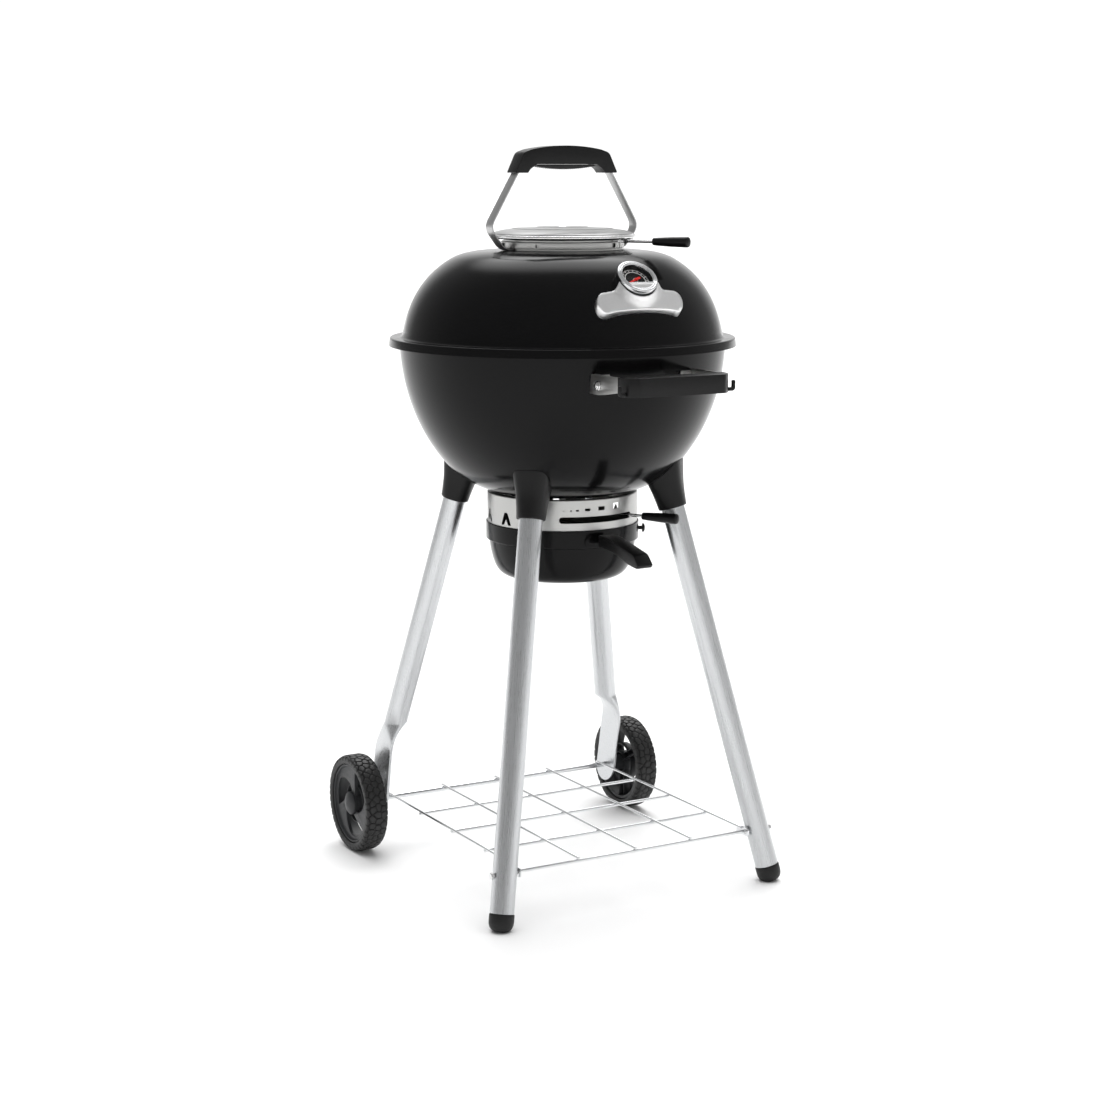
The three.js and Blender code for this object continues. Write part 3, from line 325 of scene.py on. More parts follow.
def fine(node, shape, look=None, part="", place=None, cuts=None, bevel=0.0, steps=2, smooth=35,
         depth=None):
    """A detailed piece for a CAD node. The piece with no part name takes the node's place.

    place moves the shape and its cuts from their own frame to the kettle's. bevel is in
    millimetres, and edges sharper than smooth degrees stay sharp. depth is a number for each
    point, kept for the material as the attribute "depth"."""
    name = f"{node}.{part or 'fine'}"
    obj = in_scene(name, mesh_of(name, shape, place))
    tool = None
    if cuts is not None:
        tool = in_scene("tool", mesh_of("tool", cuts, place))
        cut = obj.modifiers.new("cut", "BOOLEAN")
        cut.operation = "DIFFERENCE"
        cut.solver = "EXACT"
        cut.object = tool
    if bevel:
        soften = obj.modifiers.new("soften", "BEVEL")
        soften.width = bevel * MM
        soften.segments = steps
        soften.limit_method = "ANGLE"
        soften.angle_limit = radians(BEVELLED_FROM)
    if obj.modifiers:
        bpy.context.view_layer.update()
        graph = bpy.context.evaluated_depsgraph_get()
        done = bpy.data.meshes.new_from_object(obj.evaluated_get(graph))
        obj.modifiers.clear()
        obj.data = done
    if tool:
        bpy.data.objects.remove(tool)
    if depth is not None:
        obj.data.attributes.new("depth", "FLOAT", "POINT").data.foreach_set("value", depth)
    obj.data.shade_smooth()
    obj.data.set_sharp_from_angle(angle=radians(smooth))
    obj.data.materials.clear()
    obj.data.materials.append(look or LOOKS[SLOT_OF[node]])
    obj.location = AXIS
    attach(obj, BODY_OF[node])
    if not part:
        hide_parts(node)
    return obj


# ------------------------ materials
def feed(tree, node, inputs):
    """Sets a node's inputs: a socket is linked, and any other value is the input's own."""
    for key, value in inputs.items():
        if isinstance(value, bpy.types.NodeSocket):
            tree.links.new(value, node.inputs[key])
        else:
            node.inputs[key].default_value = value


def node_in(tree, kind, inputs=None, **settings):
    """Adds a shader node with its settings and inputs."""
    made = tree.nodes.new(f"ShaderNode{kind}")
    for key, value in settings.items():
        setattr(made, key, value)
    feed(tree, made, inputs or {})
    return made


def look(name, base, rough, metallic=0.0, specular=0.5, vary=0.12, size=6.0, stretch=(1, 1, 1),
         spread=0.05, bump=0.0, bump_size=0.8, alpha=1.0, along=None, painted_shade=None):
    """A procedural material: colour, roughness and relief all vary with noise over the surface.

    vary and spread are how far colour and roughness go either way. size and bump_size are the
    features' sizes in millimetres, stretched along the axes by stretch.
    The axes are the object's, or with along, that frame's. The last argument is a painted shade: the colour
    at full depth, which darkens the cracks."""
    made = bpy.data.materials.new(name)
    made.use_nodes = True
    tree = made.node_tree
    place = node_in(tree, "TexCoord").outputs["Object"]
    if along is not None:
        turn = along.to_3x3().inverted().to_euler()
        place = node_in(tree, "Mapping", {"Vector": place, "Rotation": turn}).outputs["Vector"]

    def noise(feature, detail):
        scaled = node_in(tree, "Mapping", {"Vector": place, "Scale": [1 / s for s in stretch]})
        texture = node_in(tree, "TexNoise", {
            "Vector": scaled.outputs["Vector"], "Scale": 1 / (feature * MM), "Detail": detail})
        return texture.outputs["Fac"]

    def mixed(share, low, high):
        return node_in(tree, "Mix", {0: share, 6: low, 7: high}, data_type="RGBA").outputs[2]

    cloud = noise(size, 3)
    dark = [c * (1 - vary) for c in base] + [1]
    colour = mixed(cloud, dark, [min(c * (1 + vary), 1) for c in base] + [1])
    # Painted shade: where the depth attribute is high, in the cracks, the colour darkens towards the shade
    # colour.
    if painted_shade:
        depth = node_in(tree, "Attribute", attribute_name="depth")
        colour = mixed(depth.outputs["Fac"], colour, [*painted_shade, 1])
    polish = node_in(tree, "MapRange", {
        "Value": cloud, "From Min": 0.3, "From Max": 0.7,
        "To Min": max(rough - spread, 0.02), "To Max": rough + spread})
    settings = {"Base Color": colour, "Roughness": polish.outputs["Result"], "Metallic": metallic,
                "Specular IOR Level": specular, "Alpha": alpha}
    if bump:
        relief = node_in(tree, "Bump", {
            "Height": noise(bump_size, 2), "Strength": bump, "Distance": BUMP_DEPTH})
        settings["Normal"] = relief.outputs["Normal"]
    feed(tree, tree.nodes["Principled BSDF"], settings)
    return made


LOOKS = {
    "enamel": look("enamel", (0.0032, 0.0032, 0.0034), 0.16, specular=0.13, size=45, spread=0.03,
                   bump=0.05, bump_size=3.0),
    "steel": look("steel", (0.47, 0.47, 0.46), 0.36, metallic=1, vary=0.05, size=1.2,
                  stretch=(30, 30, 1), bump=0.1, bump_size=0.35),
    "chrome": look("chrome", (0.8, 0.81, 0.82), 0.14, metallic=1, vary=0.03, size=18, spread=0.03),
    "wire": look("wire", (0.76, 0.77, 0.78), 0.2, metallic=1, vary=0.06, size=9, spread=0.05),
    "plastic": look("plastic", (0.0045, 0.0045, 0.0047), 0.34, specular=0.22, vary=0.2, size=5,
                    bump=0.35, bump_size=0.5),
    "hub": look("hub", (0.028, 0.029, 0.031), 0.42, specular=0.3, size=5, bump=0.25, bump_size=0.5),
    # The tyre's cracks are darkened with a painted shade, near black at full depth.
    "tyre": look("tyre", (0.016, 0.016, 0.016), 0.5, specular=0.4, vary=0.22, size=2.5, bump=0.5,
                 bump_size=0.6, painted_shade=(0.001, 0.001, 0.001)),
    "rubber": look("rubber", (0.009, 0.009, 0.009), 0.5, specular=0.35, vary=0.2, size=3, bump=0.35,
                   bump_size=0.5),
    "iron": look("iron", (0.05, 0.05, 0.052), 0.5, metallic=0.6, vary=0.3, size=3, bump=0.4,
                 bump_size=0.7),
    "dial": look("dial", (0.004, 0.004, 0.004), 0.5, specular=0.2, vary=0.2, size=2, spread=0.04),
    "needle": look("needle", (0.72, 0.022, 0.016), 0.4, specular=0.2, vary=0.08, size=2, spread=0.04),
    "glass": look("glass", (0.02, 0.02, 0.02), 0.04, specular=0.4, vary=0.02, size=20, spread=0.01,
                  alpha=0.06),
}
POLISHED = look("steel_polished", (0.8, 0.8, 0.8), 0.16, metallic=1, vary=0.03, size=8, spread=0.03)
SATIN = look("steel_satin", (0.5, 0.5, 0.5), 0.4, metallic=1, vary=0.04, size=1.2, stretch=(1, 1, 30),
             spread=0.02, bump=0.04, bump_size=0.35)
BRUSHED_TOP = look("steel_brushed_top", (0.3, 0.3, 0.3), 0.34, metallic=1, vary=0.06, size=0.9,
                   stretch=(60, 1, 1), bump=0.12, bump_size=0.35)
CAST = look("badge_metal", (0.85, 0.85, 0.85), 0.34, metallic=1, vary=0.05, size=4, bump=0.2, bump_size=0.6)
MARKS = look("dial_marks", (0.9, 0.9, 0.88), 0.5, vary=0.04, size=2)

# ------------------------ lid
LID_DOME = (243, 220.8, 739.6, 2.87)
BOWL_DOME = (243.1, 276.4, 827.3, 2.11)
CROWN = 944
SHOULDER_Z = 931
SHEET = 1.6
HANDLE_SCREW_X = 71
shoulder = dome_radius(LID_DOME, SHOULDER_Z)
neck = dome_radius(LID_DOME, 818) + 1.2
flange = [(258.5, 804.6), (257, 816.5), (neck, 816.5), (dome_radius(LID_DOME, 824), 824)]
lid_outside = (
    [(258.5, 804.3)]
    + fillet(flange, [0, 2.6, 3.2, 0])[1:-1]
    + dome_outline(LID_DOME, 823, SHOULDER_Z, 44)
    + bezier([(shoulder, SHOULDER_Z), (shoulder - 22, CROWN), (100, CROWN)], 14)[1:]
    + [(60, CROWN), (0, CROWN)]
)
lid_inside = offset(lid_outside, SHEET)
lid_inside[-1] = (0, CROWN - SHEET)
lid_holes = [rod((0, 0, 930), (0, 0, 955), 3.4)]
lid_holes += [rod(polar(46, b, 930), polar(46, b, 955), 17, 48) for b in QUARTERS]
lid_holes += [rod((x, 0, 930), (x, 0, 955), 2.9) for x in (-HANDLE_SCREW_X, HANDLE_SCREW_X)]

# The thermometer stands square to the front of the dome: its way out, its up and its foot.
TILT = radians(48)
GAUGE_OUT = Vector((0, -math.cos(TILT), math.sin(TILT)))
GAUGE_UP = Vector((0, math.sin(TILT), math.cos(TILT)))
GAUGE_FOOT = Vector((0, -dome_radius(LID_DOME, 902), 902))
lid_holes.append(rod(GAUGE_FOOT - GAUGE_OUT * 15, GAUGE_FOOT + GAUGE_OUT * 15, 4.6))
lid_loop = lid_outside + list(reversed(lid_inside))
fine("lid_shell", solid(lid_loop, 192), cuts=joined(lid_holes), smooth=40)

# All that is inside the lid's outer face and 0.3 mm more, for trimming what stands on it.
lid_space_line = [(0, 800), (258.6, 800)] + offset(lid_outside, -0.3)[1:-1] + [(0, CROWN + 0.3)]
lid_space = solid(lid_space_line, 192)

# ------------------------ lid vent
SEAT = CROWN + 0.3
RING_Z = SEAT + 2.9
RING = 91
COLLAR = 87.8
COLLAR_TOP = 959.5
collar = turned(
    [(COLLAR - 1.2, SEAT), (COLLAR, SEAT), (COLLAR, COLLAR_TOP), (COLLAR - 1.2, COLLAR_TOP)]
)
collar_cuts = Shape()
ring_cuts = Shape()
for third in THIRDS:
    start = -79 + third
    section = [(80, RING_Z + 1.5), (99, RING_Z + 1.5), (99, RING_Z + 8), (80, RING_Z + 8)]
    collar_cuts.add(turned(section, 12, start - 30, 18))
    ring_cuts.add(turned(section, 12, start, 18))
for side in (-1, 1):
    collar_cuts.add(block(30, 24, 5.6, side * 88, 0, SEAT))
fine("lid_vent_collar", collar, cuts=collar_cuts, bevel=0.25, steps=1)
spokes = Shape()
spoke = prism([(4, -4.5), (COLLAR - 1, -4.5), (COLLAR - 1, 4.5), (4, 4.5)], 957.9, COLLAR_TOP)
for bearing in range(30, 360, 60):
    spokes.add(spoke, spun(bearing))
spokes.add(turned([(3.4, 957.8), (12, 957.8), (12, 959.6), (3.4, 959.6)], 48))
fine("lid_vent_collar", spokes, part="spokes", bevel=0.3)

ring_top = RING_Z + 10
ring = turned(
    [(RING - 1.3, RING_Z)]
    + arc(RING - 0.6, RING_Z + 0.6, 0.6, -90, 0, 3)
    + arc(RING - 1.2, ring_top - 1.2, 1.2, 0, 90, 5)
    + [(RING - 2.6, ring_top), (RING - 2.6, ring_top - 1.1), (RING - 1.3, ring_top - 1.3)],
    192,
)
ring_cuts.add(bearing_block(-53, RING, 0.7, 1.2, 12, RING_Z + 5))
ring_cuts.add(bearing_block(-143, RING, 7, 8, 4.6, RING_Z + 4.2))
fine("lid_vent_damper_ring", ring, cuts=ring_cuts, bevel=0.2, steps=1)
overlap = [(RING - 0.1, RING_Z + 0.8), (RING + 0.5, RING_Z + 1)]
overlap += [(RING + 0.5, ring_top - 1.4), (RING - 0.1, ring_top - 1.2)]
fine("lid_vent_damper_ring", turned(overlap, 24, -53, 17), part="overlap")

LEVER = -60  # bearing of both levers at rest
LEVER_ROD = 2.4


def lever_rod(start, end, z, root):
    """The vent lever's bar, from radius start to end, with a flat tab of length root at its start."""
    bar = rod(polar(start + root - 5, LEVER, z), polar(end, LEVER, z), LEVER_ROD, soft=0.4)
    side = [(start, -7), (start + root * 0.7, -7), (start + root, -3)]
    tab = fillet(side + [(x, -y) for x, y in reversed(side)], 1.5)
    return bar.add(prism(tab, z - 0.8, z + 0.8), spun(LEVER))


def lever_grip(node, start, end, z):
    """A lever's round plastic grip, from radius start to end, and the ferrule at its mouth."""
    long = end - start
    outline = (
        [(2.45, 0.4), (4.2, 0)]
        + arc(4.4, 1, 1, -80, 0, 4)
        + [(5.9, 8), (7.1, 30), (7.6, long - 7)]
        + arc(5.6, long - 3.4, 2, 0, 60, 4)[1:]
        + bezier([(5.4, long - 1.3), (4, long - 0.1), (0, long)], 6)
        + [(0, 38), (2.45, 38)]
    )
    place = aimed(polar(start, LEVER, z), polar(1, LEVER))
    fine(node, turned(outline, 64), place=place, smooth=30)
    ferrule = turned([(4.5, 1.4), (5.05, 1.7), (5.15, 3.0), (4.7, 3.4)], 64)
    fine(node, ferrule, part="ferrule", place=place)


VENT_LEVER_Z = ring_top + 1.1
vent_rod = lever_rod(RING - 2.6, 190, VENT_LEVER_Z, 16)
fine("lid_vent_lever_rod", vent_rod, look=POLISHED, bevel=0.2, steps=1)
lever_grip("lid_vent_lever_grip", 152, 211, VENT_LEVER_Z)

cap_top = bezier([(104.6, 968.3), (92, 976.2), (40, 977.8), (0, 977.8)], 30)
cap_under = offset(cap_top, 1.2)
cap_under[-1] = (0, 976.6)
bolt_hole = rod((0, 0, 940), (0, 0, 990), 3.4)
cap = solid(cap_top + list(reversed(cap_under)), 192)
cap.add(turned([cap_top[0], cap_under[0], (104.9, 968)], 192))
fine("lid_vent_cap", cap, look=BRUSHED_TOP, cuts=bolt_hole, smooth=50)
rim = arc(106.6, 963.9, 2.9, -100, 115, 16)
rim += [(104.5, 967.9), (103.9, 966.7), (104.6, 964.5), (104.9, 962.5)]
fine("lid_vent_cap", turned(rim, 192), part="rim", look=POLISHED)
for radius in (38, 74):
    z = np.interp(-radius, [-r for r, _ in cap_top], [z for _, z in cap_top]) - 0.2
    bead = arc(radius, z, 0.7, 0, 330, 11)
    fine("lid_vent_cap", turned(bead, 144), part=f"bead_{radius}", look=BRUSHED_TOP)
cap_bolt = [(0, 936), (2.9, 936), (2.9, 959.8), (6, 959.8), (6, 976.2), (3, 976.2)]
cap_bolt += [(3, 977.5), (7, 977.5), (7, 977.7)]
cap_bolt += bezier([(6.8, 977.9), (5.2, 978.8), (0, 978.8)], 8)
fine("lid_vent_cap_bolt", solid(cap_bolt, 48), look=POLISHED)

# ------------------------ lid handle
STRAP = 20
strap_corners = [(60, SEAT + 1.2), (101, SEAT + 1.2), (125.6, 977.5), (80, 1055), (67, 1075)]
strap_corners += [(45, 1079.5), (0, 1082)]
strap_line = mirrored(fillet(strap_corners, [0, 10, 13, 10, 4, 6, 0], 10, closed=False))


def band(line, half, low, high):
    """A flat strip along a line seen from the front."""
    shape = Shape()
    outer, inner = (offset(line, d, inmost=-math.inf) for d in (half, -half))
    for (ax, az), (bx, bz) in zip(outer, inner):
        corners = ((ax, low, az), (ax, high, az), (bx, high, bz), (bx, low, bz))
        shape.points += [Vector(corner) for corner in corners]
    for i in range(0, 4 * len(line) - 4, 4):
        shape.faces += [[i + k, i + (k + 1) % 4, i + 4 + (k + 1) % 4, i + 4 + k] for k in range(4)]
    shape.faces += [[3, 2, 1, 0], [len(shape.points) - k for k in (4, 3, 2, 1)]]
    return shape


strap = band(strap_line, 1.2, -STRAP / 2, STRAP / 2)
strap_holes = joined([rod((side * HANDLE_SCREW_X, 0, 940), (side * HANDLE_SCREW_X, 0, 952), 2.9)
                      for side, _ in SIDES])
fine("lid_handle_strap", strap, look=SATIN, cuts=strap_holes, bevel=0.7, steps=3, smooth=30)
for side, name in SIDES:
    top = SEAT + 2.7
    x = side * HANDLE_SCREW_X
    screw = rod((x, 0, CROWN - 9), (x, 0, top + 0.2), 2.6)
    screw.add(hexagon((x, 0, top), (x, 0, top + 3), 5, 6.2))
    fine(f"lid_handle_screw_{name}", screw, look=POLISHED)

grip_end = fillet([(65, 1056), (86, 1056), (72, 1085.5), (58, 1090)], [0, 2.5, 5, 0], closed=False)
grip_under = [(65, 1056), (62, 1061), (55.5, 1065.5), (51.5, 1068.5), (20, 1068.5)]
grip_under = fillet(grip_under, [0, 2.5, 2.5, 2, 0], 4, closed=False)[1:]
grip = mirrored(grip_end + bezier([(58, 1090), (30, 1095.5), (0, 1095.5)], 14)[1:])
grip += [(-x, z) for x, z in grip_under] + list(reversed(grip_under))
channel = band(strap_line, 1.5, -10.3, 10.3)
fine("lid_handle_grip", prism(grip, -14, 14, "xz"), cuts=channel, bevel=2.6, steps=4, smooth=32)

# The pad's sagging underside is a parabola, with rows of raised dots along it.
PAD_X, PAD_Z, PAD_PULL = 51, 1066.4, 1056.7
pad_under = bezier([(PAD_X, PAD_Z), (0, PAD_PULL), (-PAD_X, PAD_Z)], 24)
pad = [(46.5, 1068.2)] + pad_under + [(-46.5, 1068.2)]
fine("lid_handle_grip_pad", prism(pad, -11.6, 11.6, "xz"), bevel=1.0, steps=3)
dot = solid([(0, -0.45), (0.5, -0.3), (0.85, 0.2), (0, 0.3)], 8)
dots = Shape()
for row in range(9):
    for k in range(1, 30):
        t = (k + (row % 2) * 0.5) / 30.5
        x = PAD_X * (1 - 2 * t)
        z = (1 - t) ** 2 * PAD_Z + 2 * t * (1 - t) * PAD_PULL + t * t * PAD_Z
        dots.add(dot, Matrix.Translation((x, (row - 4) * 2.5, z)))
fine("lid_handle_grip_pad", dots, part="dots", look=LOOKS["hub"])

# ------------------------ thermometer
GAUGE = Matrix((
    (1, GAUGE_UP.x, GAUGE_OUT.x, GAUGE_FOOT.x),
    (0, GAUGE_UP.y, GAUGE_OUT.y, GAUGE_FOOT.y),
    (0, GAUGE_UP.z, GAUGE_OUT.z, GAUGE_FOOT.z),
    (0, 0, 0, 1),
))
bezel = (
    [(26, -22), (29, -22), (29, 7.5)]
    + bezier([(29, 7.5), (29.1, 9.4), (30, 10.2)], 4)
    + arc(28.6, 15.4, 1.4, 0, 75, 6)
    + [(28.4, 17.1), (27.6, 17.0), (26.9, 16.5)]
    + arc(25.4, 16.9, 1.0, 20, 170, 8)
    + [(24.3, 16.3), (24.3, 14.8), (26, 14.8)]
)
fine("thermometer_bezel", turned(bezel, 96), place=GAUGE, cuts=lid_space.moved(GAUGE.inverted()), smooth=45)
floor_plate = turned([(4.3, 3), (27, 3), (27, 5), (4.3, 5)], 64)
fine("thermometer_bezel", floor_plate, part="floor", place=GAUGE)
CHORD = -12.5  # the window is a round one cut off by a level chord
WINDOW = 23.6
DIAL = 25.6
FACE_TOP = 15.9
DIAL_ZERO = 205  # bearing of the coldest mark, where the needle rests
chord_end = math.degrees(math.asin(CHORD / WINDOW))
window = fillet(arc(0, 0, WINDOW, chord_end, 180 - chord_end, 48), [3] + [0] * 47 + [3], 5)
face = prism(arc(0, 0, DIAL, 0, 352.5, 47), FACE_TOP - 1, FACE_TOP)
fine("thermometer_bezel", face, part="face", place=GAUGE, look=CAST, cuts=prism(window, 14, 17),
     bevel=0.3)
window_rim = swept([(x, y, FACE_TOP) for x, y in window], 0.75, closed=True)
fine("thermometer_bezel", window_rim, part="window_rim", place=GAUGE)
fine("thermometer_dial", turned([(4.3, 6.6), (DIAL, 6.6), (DIAL, 8), (4.3, 8)], 72), place=GAUGE)
marks = Shape()
for k in range(45):
    inner, wide = (17.2, 1.1) if k % 4 == 0 else (18.9, 0.5)
    mark = block(21 - inner, wide, 0.12, (21 + inner) / 2, 0, 8.12)
    marks.add(mark, spun(DIAL_ZERO - k * 5.2))
marks.add(turned([(15.2, 8.06), (16.2, 8.06), (16.2, 8.18), (15.2, 8.18)], 60, -25, 230))
fine("thermometer_dial", marks, part="marks", place=GAUGE, look=MARKS)
stem = [(0, -60), (2.2, -59.5), (3, -57), (3, 1), (4, 1), (4, 8.6), (0, 8.6)]
fine("thermometer_stem", solid(stem, 32), place=GAUGE)
nut = turned([(3.3, -12), (7.2, -12), (8, -11.4), (8, -7.6), (7.2, -7), (3.3, -7)], 6)
fine("thermometer_nut", nut, place=GAUGE)
needle_side = [(-9, -1.2), (-7.5, -1.9), (3, -1.8), (17, -0.7)]
needle_line = needle_side + [(17.8, 0)] + [(x, -y) for x, y in reversed(needle_side)]
needle = prism(needle_line, 9.2, 10).moved(spun(DIAL_ZERO))
boss = [(0, 8.9), (2.6, 8.9), (2.6, 10.4), (2.0, 11.1), (0, 11.2)]
fine("thermometer_needle", needle.add(solid(boss, 32)), place=GAUGE)
lens = [(0, 12.6), (25.5, 12.6), (DIAL, 12.8), (DIAL, 14.2), (25.4, 14.4), (0, 14.5)]
fine("thermometer_lens", solid(lens, 64), place=GAUGE)


# ------------------------ badge
def on_dome(x, y, lift):
    """The point over (x, y) of the gauge's plane that stands lift off the lid, in the gauge's frame.

    A lift over 1 is the face of the casting, which is flatter than the lid and rises to the bezel."""
    if lift > 1:
        up_to_bezel = min(max((44 - math.hypot(x, y)) / 14, 0), 1)
        lift += 4.5 * (x / 68) ** 2 + 6.5 * up_to_bezel ** 2 * (3 - 2 * up_to_bezel)
    a, b, z0, n = LID_DOME
    low, high = -60, 60
    for _ in range(36):
        middle = (low + high) / 2
        p = GAUGE @ Vector((x, y, middle))
        outside = (math.hypot(p.x, p.y) / (a + lift)) ** n + (abs(p.z - z0) / (b + lift)) ** n > 1
        low, high = (low, middle) if outside else (middle, high)
    return Vector((x, y, (low + high) / 2))


# Its right side from the middle of the foot up to the bezel, which it meets along an arc.
NECK = 30.4
badge_corners = [
    (0, -44), (34, -44), (51, -45), (53.5, -46), (60.5, -45.5), (66.5, -41), (70.5, -31),
    (67.5, -20.5), (61, -15.5), (42, -14.5), (36, -12), (28, -2), (22, 8),
]
right_side = fillet(badge_corners, [0, 8, 3, 2, 3, 5, 6, 6, 6, 4, 5, 4, 0], closed=False)
right_side = resampled([p for p in right_side if math.hypot(*p) > NECK + 0.1], 2.5)
left_side = [(-x, y) for x, y in reversed(right_side) if abs(x) > 1e-6]
neck_x, neck_y = right_side[-1]
neck_turn = math.degrees(math.atan2(neck_y, neck_x))
neck_arc = arc(0, 0, NECK, neck_turn, -180 - neck_turn, 28)
badge_loop = right_side + neck_arc[1:-1] + left_side


def inset(loop, distance):
    return offset(loop, distance, closed=True, inmost=-math.inf)


# Each level of its rounded edge: how far in from the outline, and how far off the lid.
badge = Shape()
levels = [(0, 0.4), (0, 5.0), (0.5, 5.9), (1.1, 6.3), (2.0, 6.25), (2.7, 5.75)]
n = len(badge_loop)
rings = []
for step, lift in levels:
    rings.append(list(range(len(badge.points), len(badge.points) + n)))
    badge.points += [on_dome(x, y, lift) for x, y in inset(badge_loop, step)]
for a, b in zip(rings, rings[1:]):
    badge.faces += [[a[k], a[(k + 1) % n], b[(k + 1) % n], b[k]] for k in range(n)]

# The face and the back are filled with a grid of points that follows the lid's curve.
GRID = 3.0
grid = [(x * GRID, y * GRID) for x in range(-24, 25) for y in range(-17, 3)]
loop_edges = [(k, (k + 1) % n) for k in range(n)]
for ring_index, (step, lift) in ((rings[-1], levels[-1]), (rings[0], levels[0])):
    edge = inset(badge_loop, step)
    inner = [p for p in grid if min(math.dist(p, e) for e in edge) > 1.6]
    flat = [Vector(p) for p in edge + inner]
    filled = delaunay_2d_cdt(flat, loop_edges, [list(range(n))], 1, 1e-5)
    verts, _, faces, orig, _, _ = filled
    index = []
    for k, v in enumerate(verts):
        source = orig[k][0] if orig[k] else -1
        if 0 <= source < n:
            index.append(ring_index[source])
        else:
            index.append(len(badge.points))
            badge.points.append(on_dome(v.x, v.y, lift))
    badge.faces += [[index[v] for v in face] for face in faces]
fine("badge_plate", badge, look=CAST, place=GAUGE, smooth=32)

# ------------------------ bowl
BOWL_FOOT, HIP_Z, BOWL_TOP = 581, 632, 802
bowl_outside = (
    [(0, BOWL_FOOT), (60, 582.6)]
    + bezier([(100, 586.0), (149.6, 597.4), (dome_radius(BOWL_DOME, HIP_Z), HIP_Z)], 20)
    + dome_outline(BOWL_DOME, HIP_Z, BOWL_TOP, 44)[1:]
)
wall = bowl_outside[-1][0]
bowl_inside = offset(bowl_outside, SHEET)
bowl_inside[0] = (0, BOWL_FOOT + SHEET)
bowl_rim = [(wall, 804)] + arc(wall + 3.6, 809.2, 5.2, -115, 128, 18)
bowl_rim += [(wall - 1.0, 810.6), (wall - SHEET, 808)]
tabs = Shape()
for bearing in QUARTERS:
    tabs.add(bearing_block(bearing, 230.5, 16, 21, 3, 792.6))
vent_holes = rod((0, 0, 573), (0, 0, 601), 6)
for bearing in (60, 180, 300):
    vent_holes.add(turned([(28, 574), (92, 574), (92, 593), (28, 593)], 16, bearing - 21, 42))
bowl_loop = bowl_outside + bowl_rim + list(reversed(bowl_inside))
fine("bowl_shell", solid(bowl_loop, 192), cuts=vent_holes, smooth=40)
fine("bowl_shell", tabs, part="tabs", bevel=0.6)

# All that is inside the bowl's outer face and 0.3 mm more, for trimming what stands against it.
bowl_space = solid(offset(bowl_outside, -0.3) + [(0, BOWL_TOP)], 192)


# ------------------------ grates
def grate(radius, z, rim_wire, wire, pitch, cross):
    """A ring with wires across it a pitch apart, on cross wires at the given places."""
    shape = swept([polar(radius, 2.5 * k, z) for k in range(144)], rim_wire, 12, closed=True)
    y = pitch / 2
    while y < radius - 1:
        half = math.sqrt(radius ** 2 - y ** 2)
        for side in (-1, 1):
            shape.add(rod((-half, side * y, z + 0.6), (half, side * y, z + 0.6), wire, 10, 0.2))
        y += pitch
    for x in cross:
        half = math.sqrt(radius ** 2 - x ** 2)
        shape.add(rod((x, -half, z - 1.6), (x, half, z - 1.6), wire, 10, 0.2))
    return shape


fine("cooking_grate", grate(219, 797, 2.6, 1.7, 12.5, (-92, 0, 92)), smooth=60)
fine("charcoal_grate", grate(167.5, 633.5, 3, 2.1, 19, (-70, 70)), smooth=60)

# ------------------------ ash sweep and bottom lever
blades = Shape()
blade_under = [(12, 584), (60, 585.2), (106, 590)]
blade = blade_under + list(reversed(offset(blade_under, 2)))
for bearing in THIRDS:
    blades.add(turned(blade, 18, bearing - 25, 50))
fine("ash_sweep_blades", blades, bevel=0.4)
sweep_hub = turned([(5.2, 583.6), (24, 584.6), (24, 586.6), (5.2, 586.6)], 64)
fine("ash_sweep_blades", sweep_hub, part="hub", bevel=0.3)
pivot = [(0, 552.5), (4.4, 552.5), (4.8, 553), (4.8, 587.2), (9, 587.2), (9, 589.4), (7.6, 590.4)]
fine("ash_sweep_pivot", solid(pivot + [(0, 591)], 40))
SLOT_Z = 555.5
bottom_rod = rod(polar(9, LEVER, SLOT_Z), polar(176, LEVER, SLOT_Z), LEVER_ROD, soft=0.4)
bottom_rod.add(turned([(5.1, 553.9), (12, 553.9), (12, 557.1), (5.1, 557.1)], 32))
fine("bottom_lever_rod", bottom_rod, look=POLISHED)
lever_grip("bottom_lever_grip", 138, 197, SLOT_Z)

# ------------------------ damper housing
HOUSING = 113.2
housing = turned(
    [(HOUSING - 1.5, 516.5), (HOUSING, 516.5), (HOUSING, 583.4)]
    + arc(HOUSING - 2, 583.6, 2, 0, 80, 6)
    + [(98, 584.1), (98, 582.7), (HOUSING - 2.4, 584.0), (HOUSING - 1.5, 583.0)],
    192,
)


def bent_plate(inner, outer, bearing, z, half_wide, half_tall, corner, columns):
    """A plate with round corners, bent about the kettle's axis. half_wide is measured on the arc."""
    shape = Shape()
    edge = [corner * (1 - math.cos(math.pi / 2 * k / 6)) for k in range(7)]
    across = [-half_wide + e for e in edge]
    flat = 2 * half_wide - 2 * corner
    across += [-half_wide + corner + flat * (k / columns) for k in range(1, columns)]
    across += [half_wide - e for e in reversed(edge)]
    for radius in (inner, outer):
        for s in across:
            over = max(abs(s) - (half_wide - corner), 0)
            tall = half_tall - corner + math.sqrt(max(corner ** 2 - over ** 2, 0.01))
            turn = bearing + math.degrees(s / inner)
            shape.points += [polar(radius, turn, z - tall), polar(radius, turn, z + tall)]
    far = 2 * len(across)
    for a in range(0, far - 2, 2):
        b, c, d = a + 2, far + a, far + a + 2
        shape.faces += [[a, a + 1, b + 1, b], [c, d, d + 1, c + 1]]
        shape.faces += [[a, b, d, c], [a + 1, c + 1, d + 1, b + 1]]
    for a in (0, far - 2):
        shape.faces.append([a, far + a, far + a + 1, a + 1])
    return shape


housing_cuts = bent_plate(HOUSING - 6, HOUSING + 6, -89.25, SLOT_Z, 61.6, 4.75, 4.7, 40)


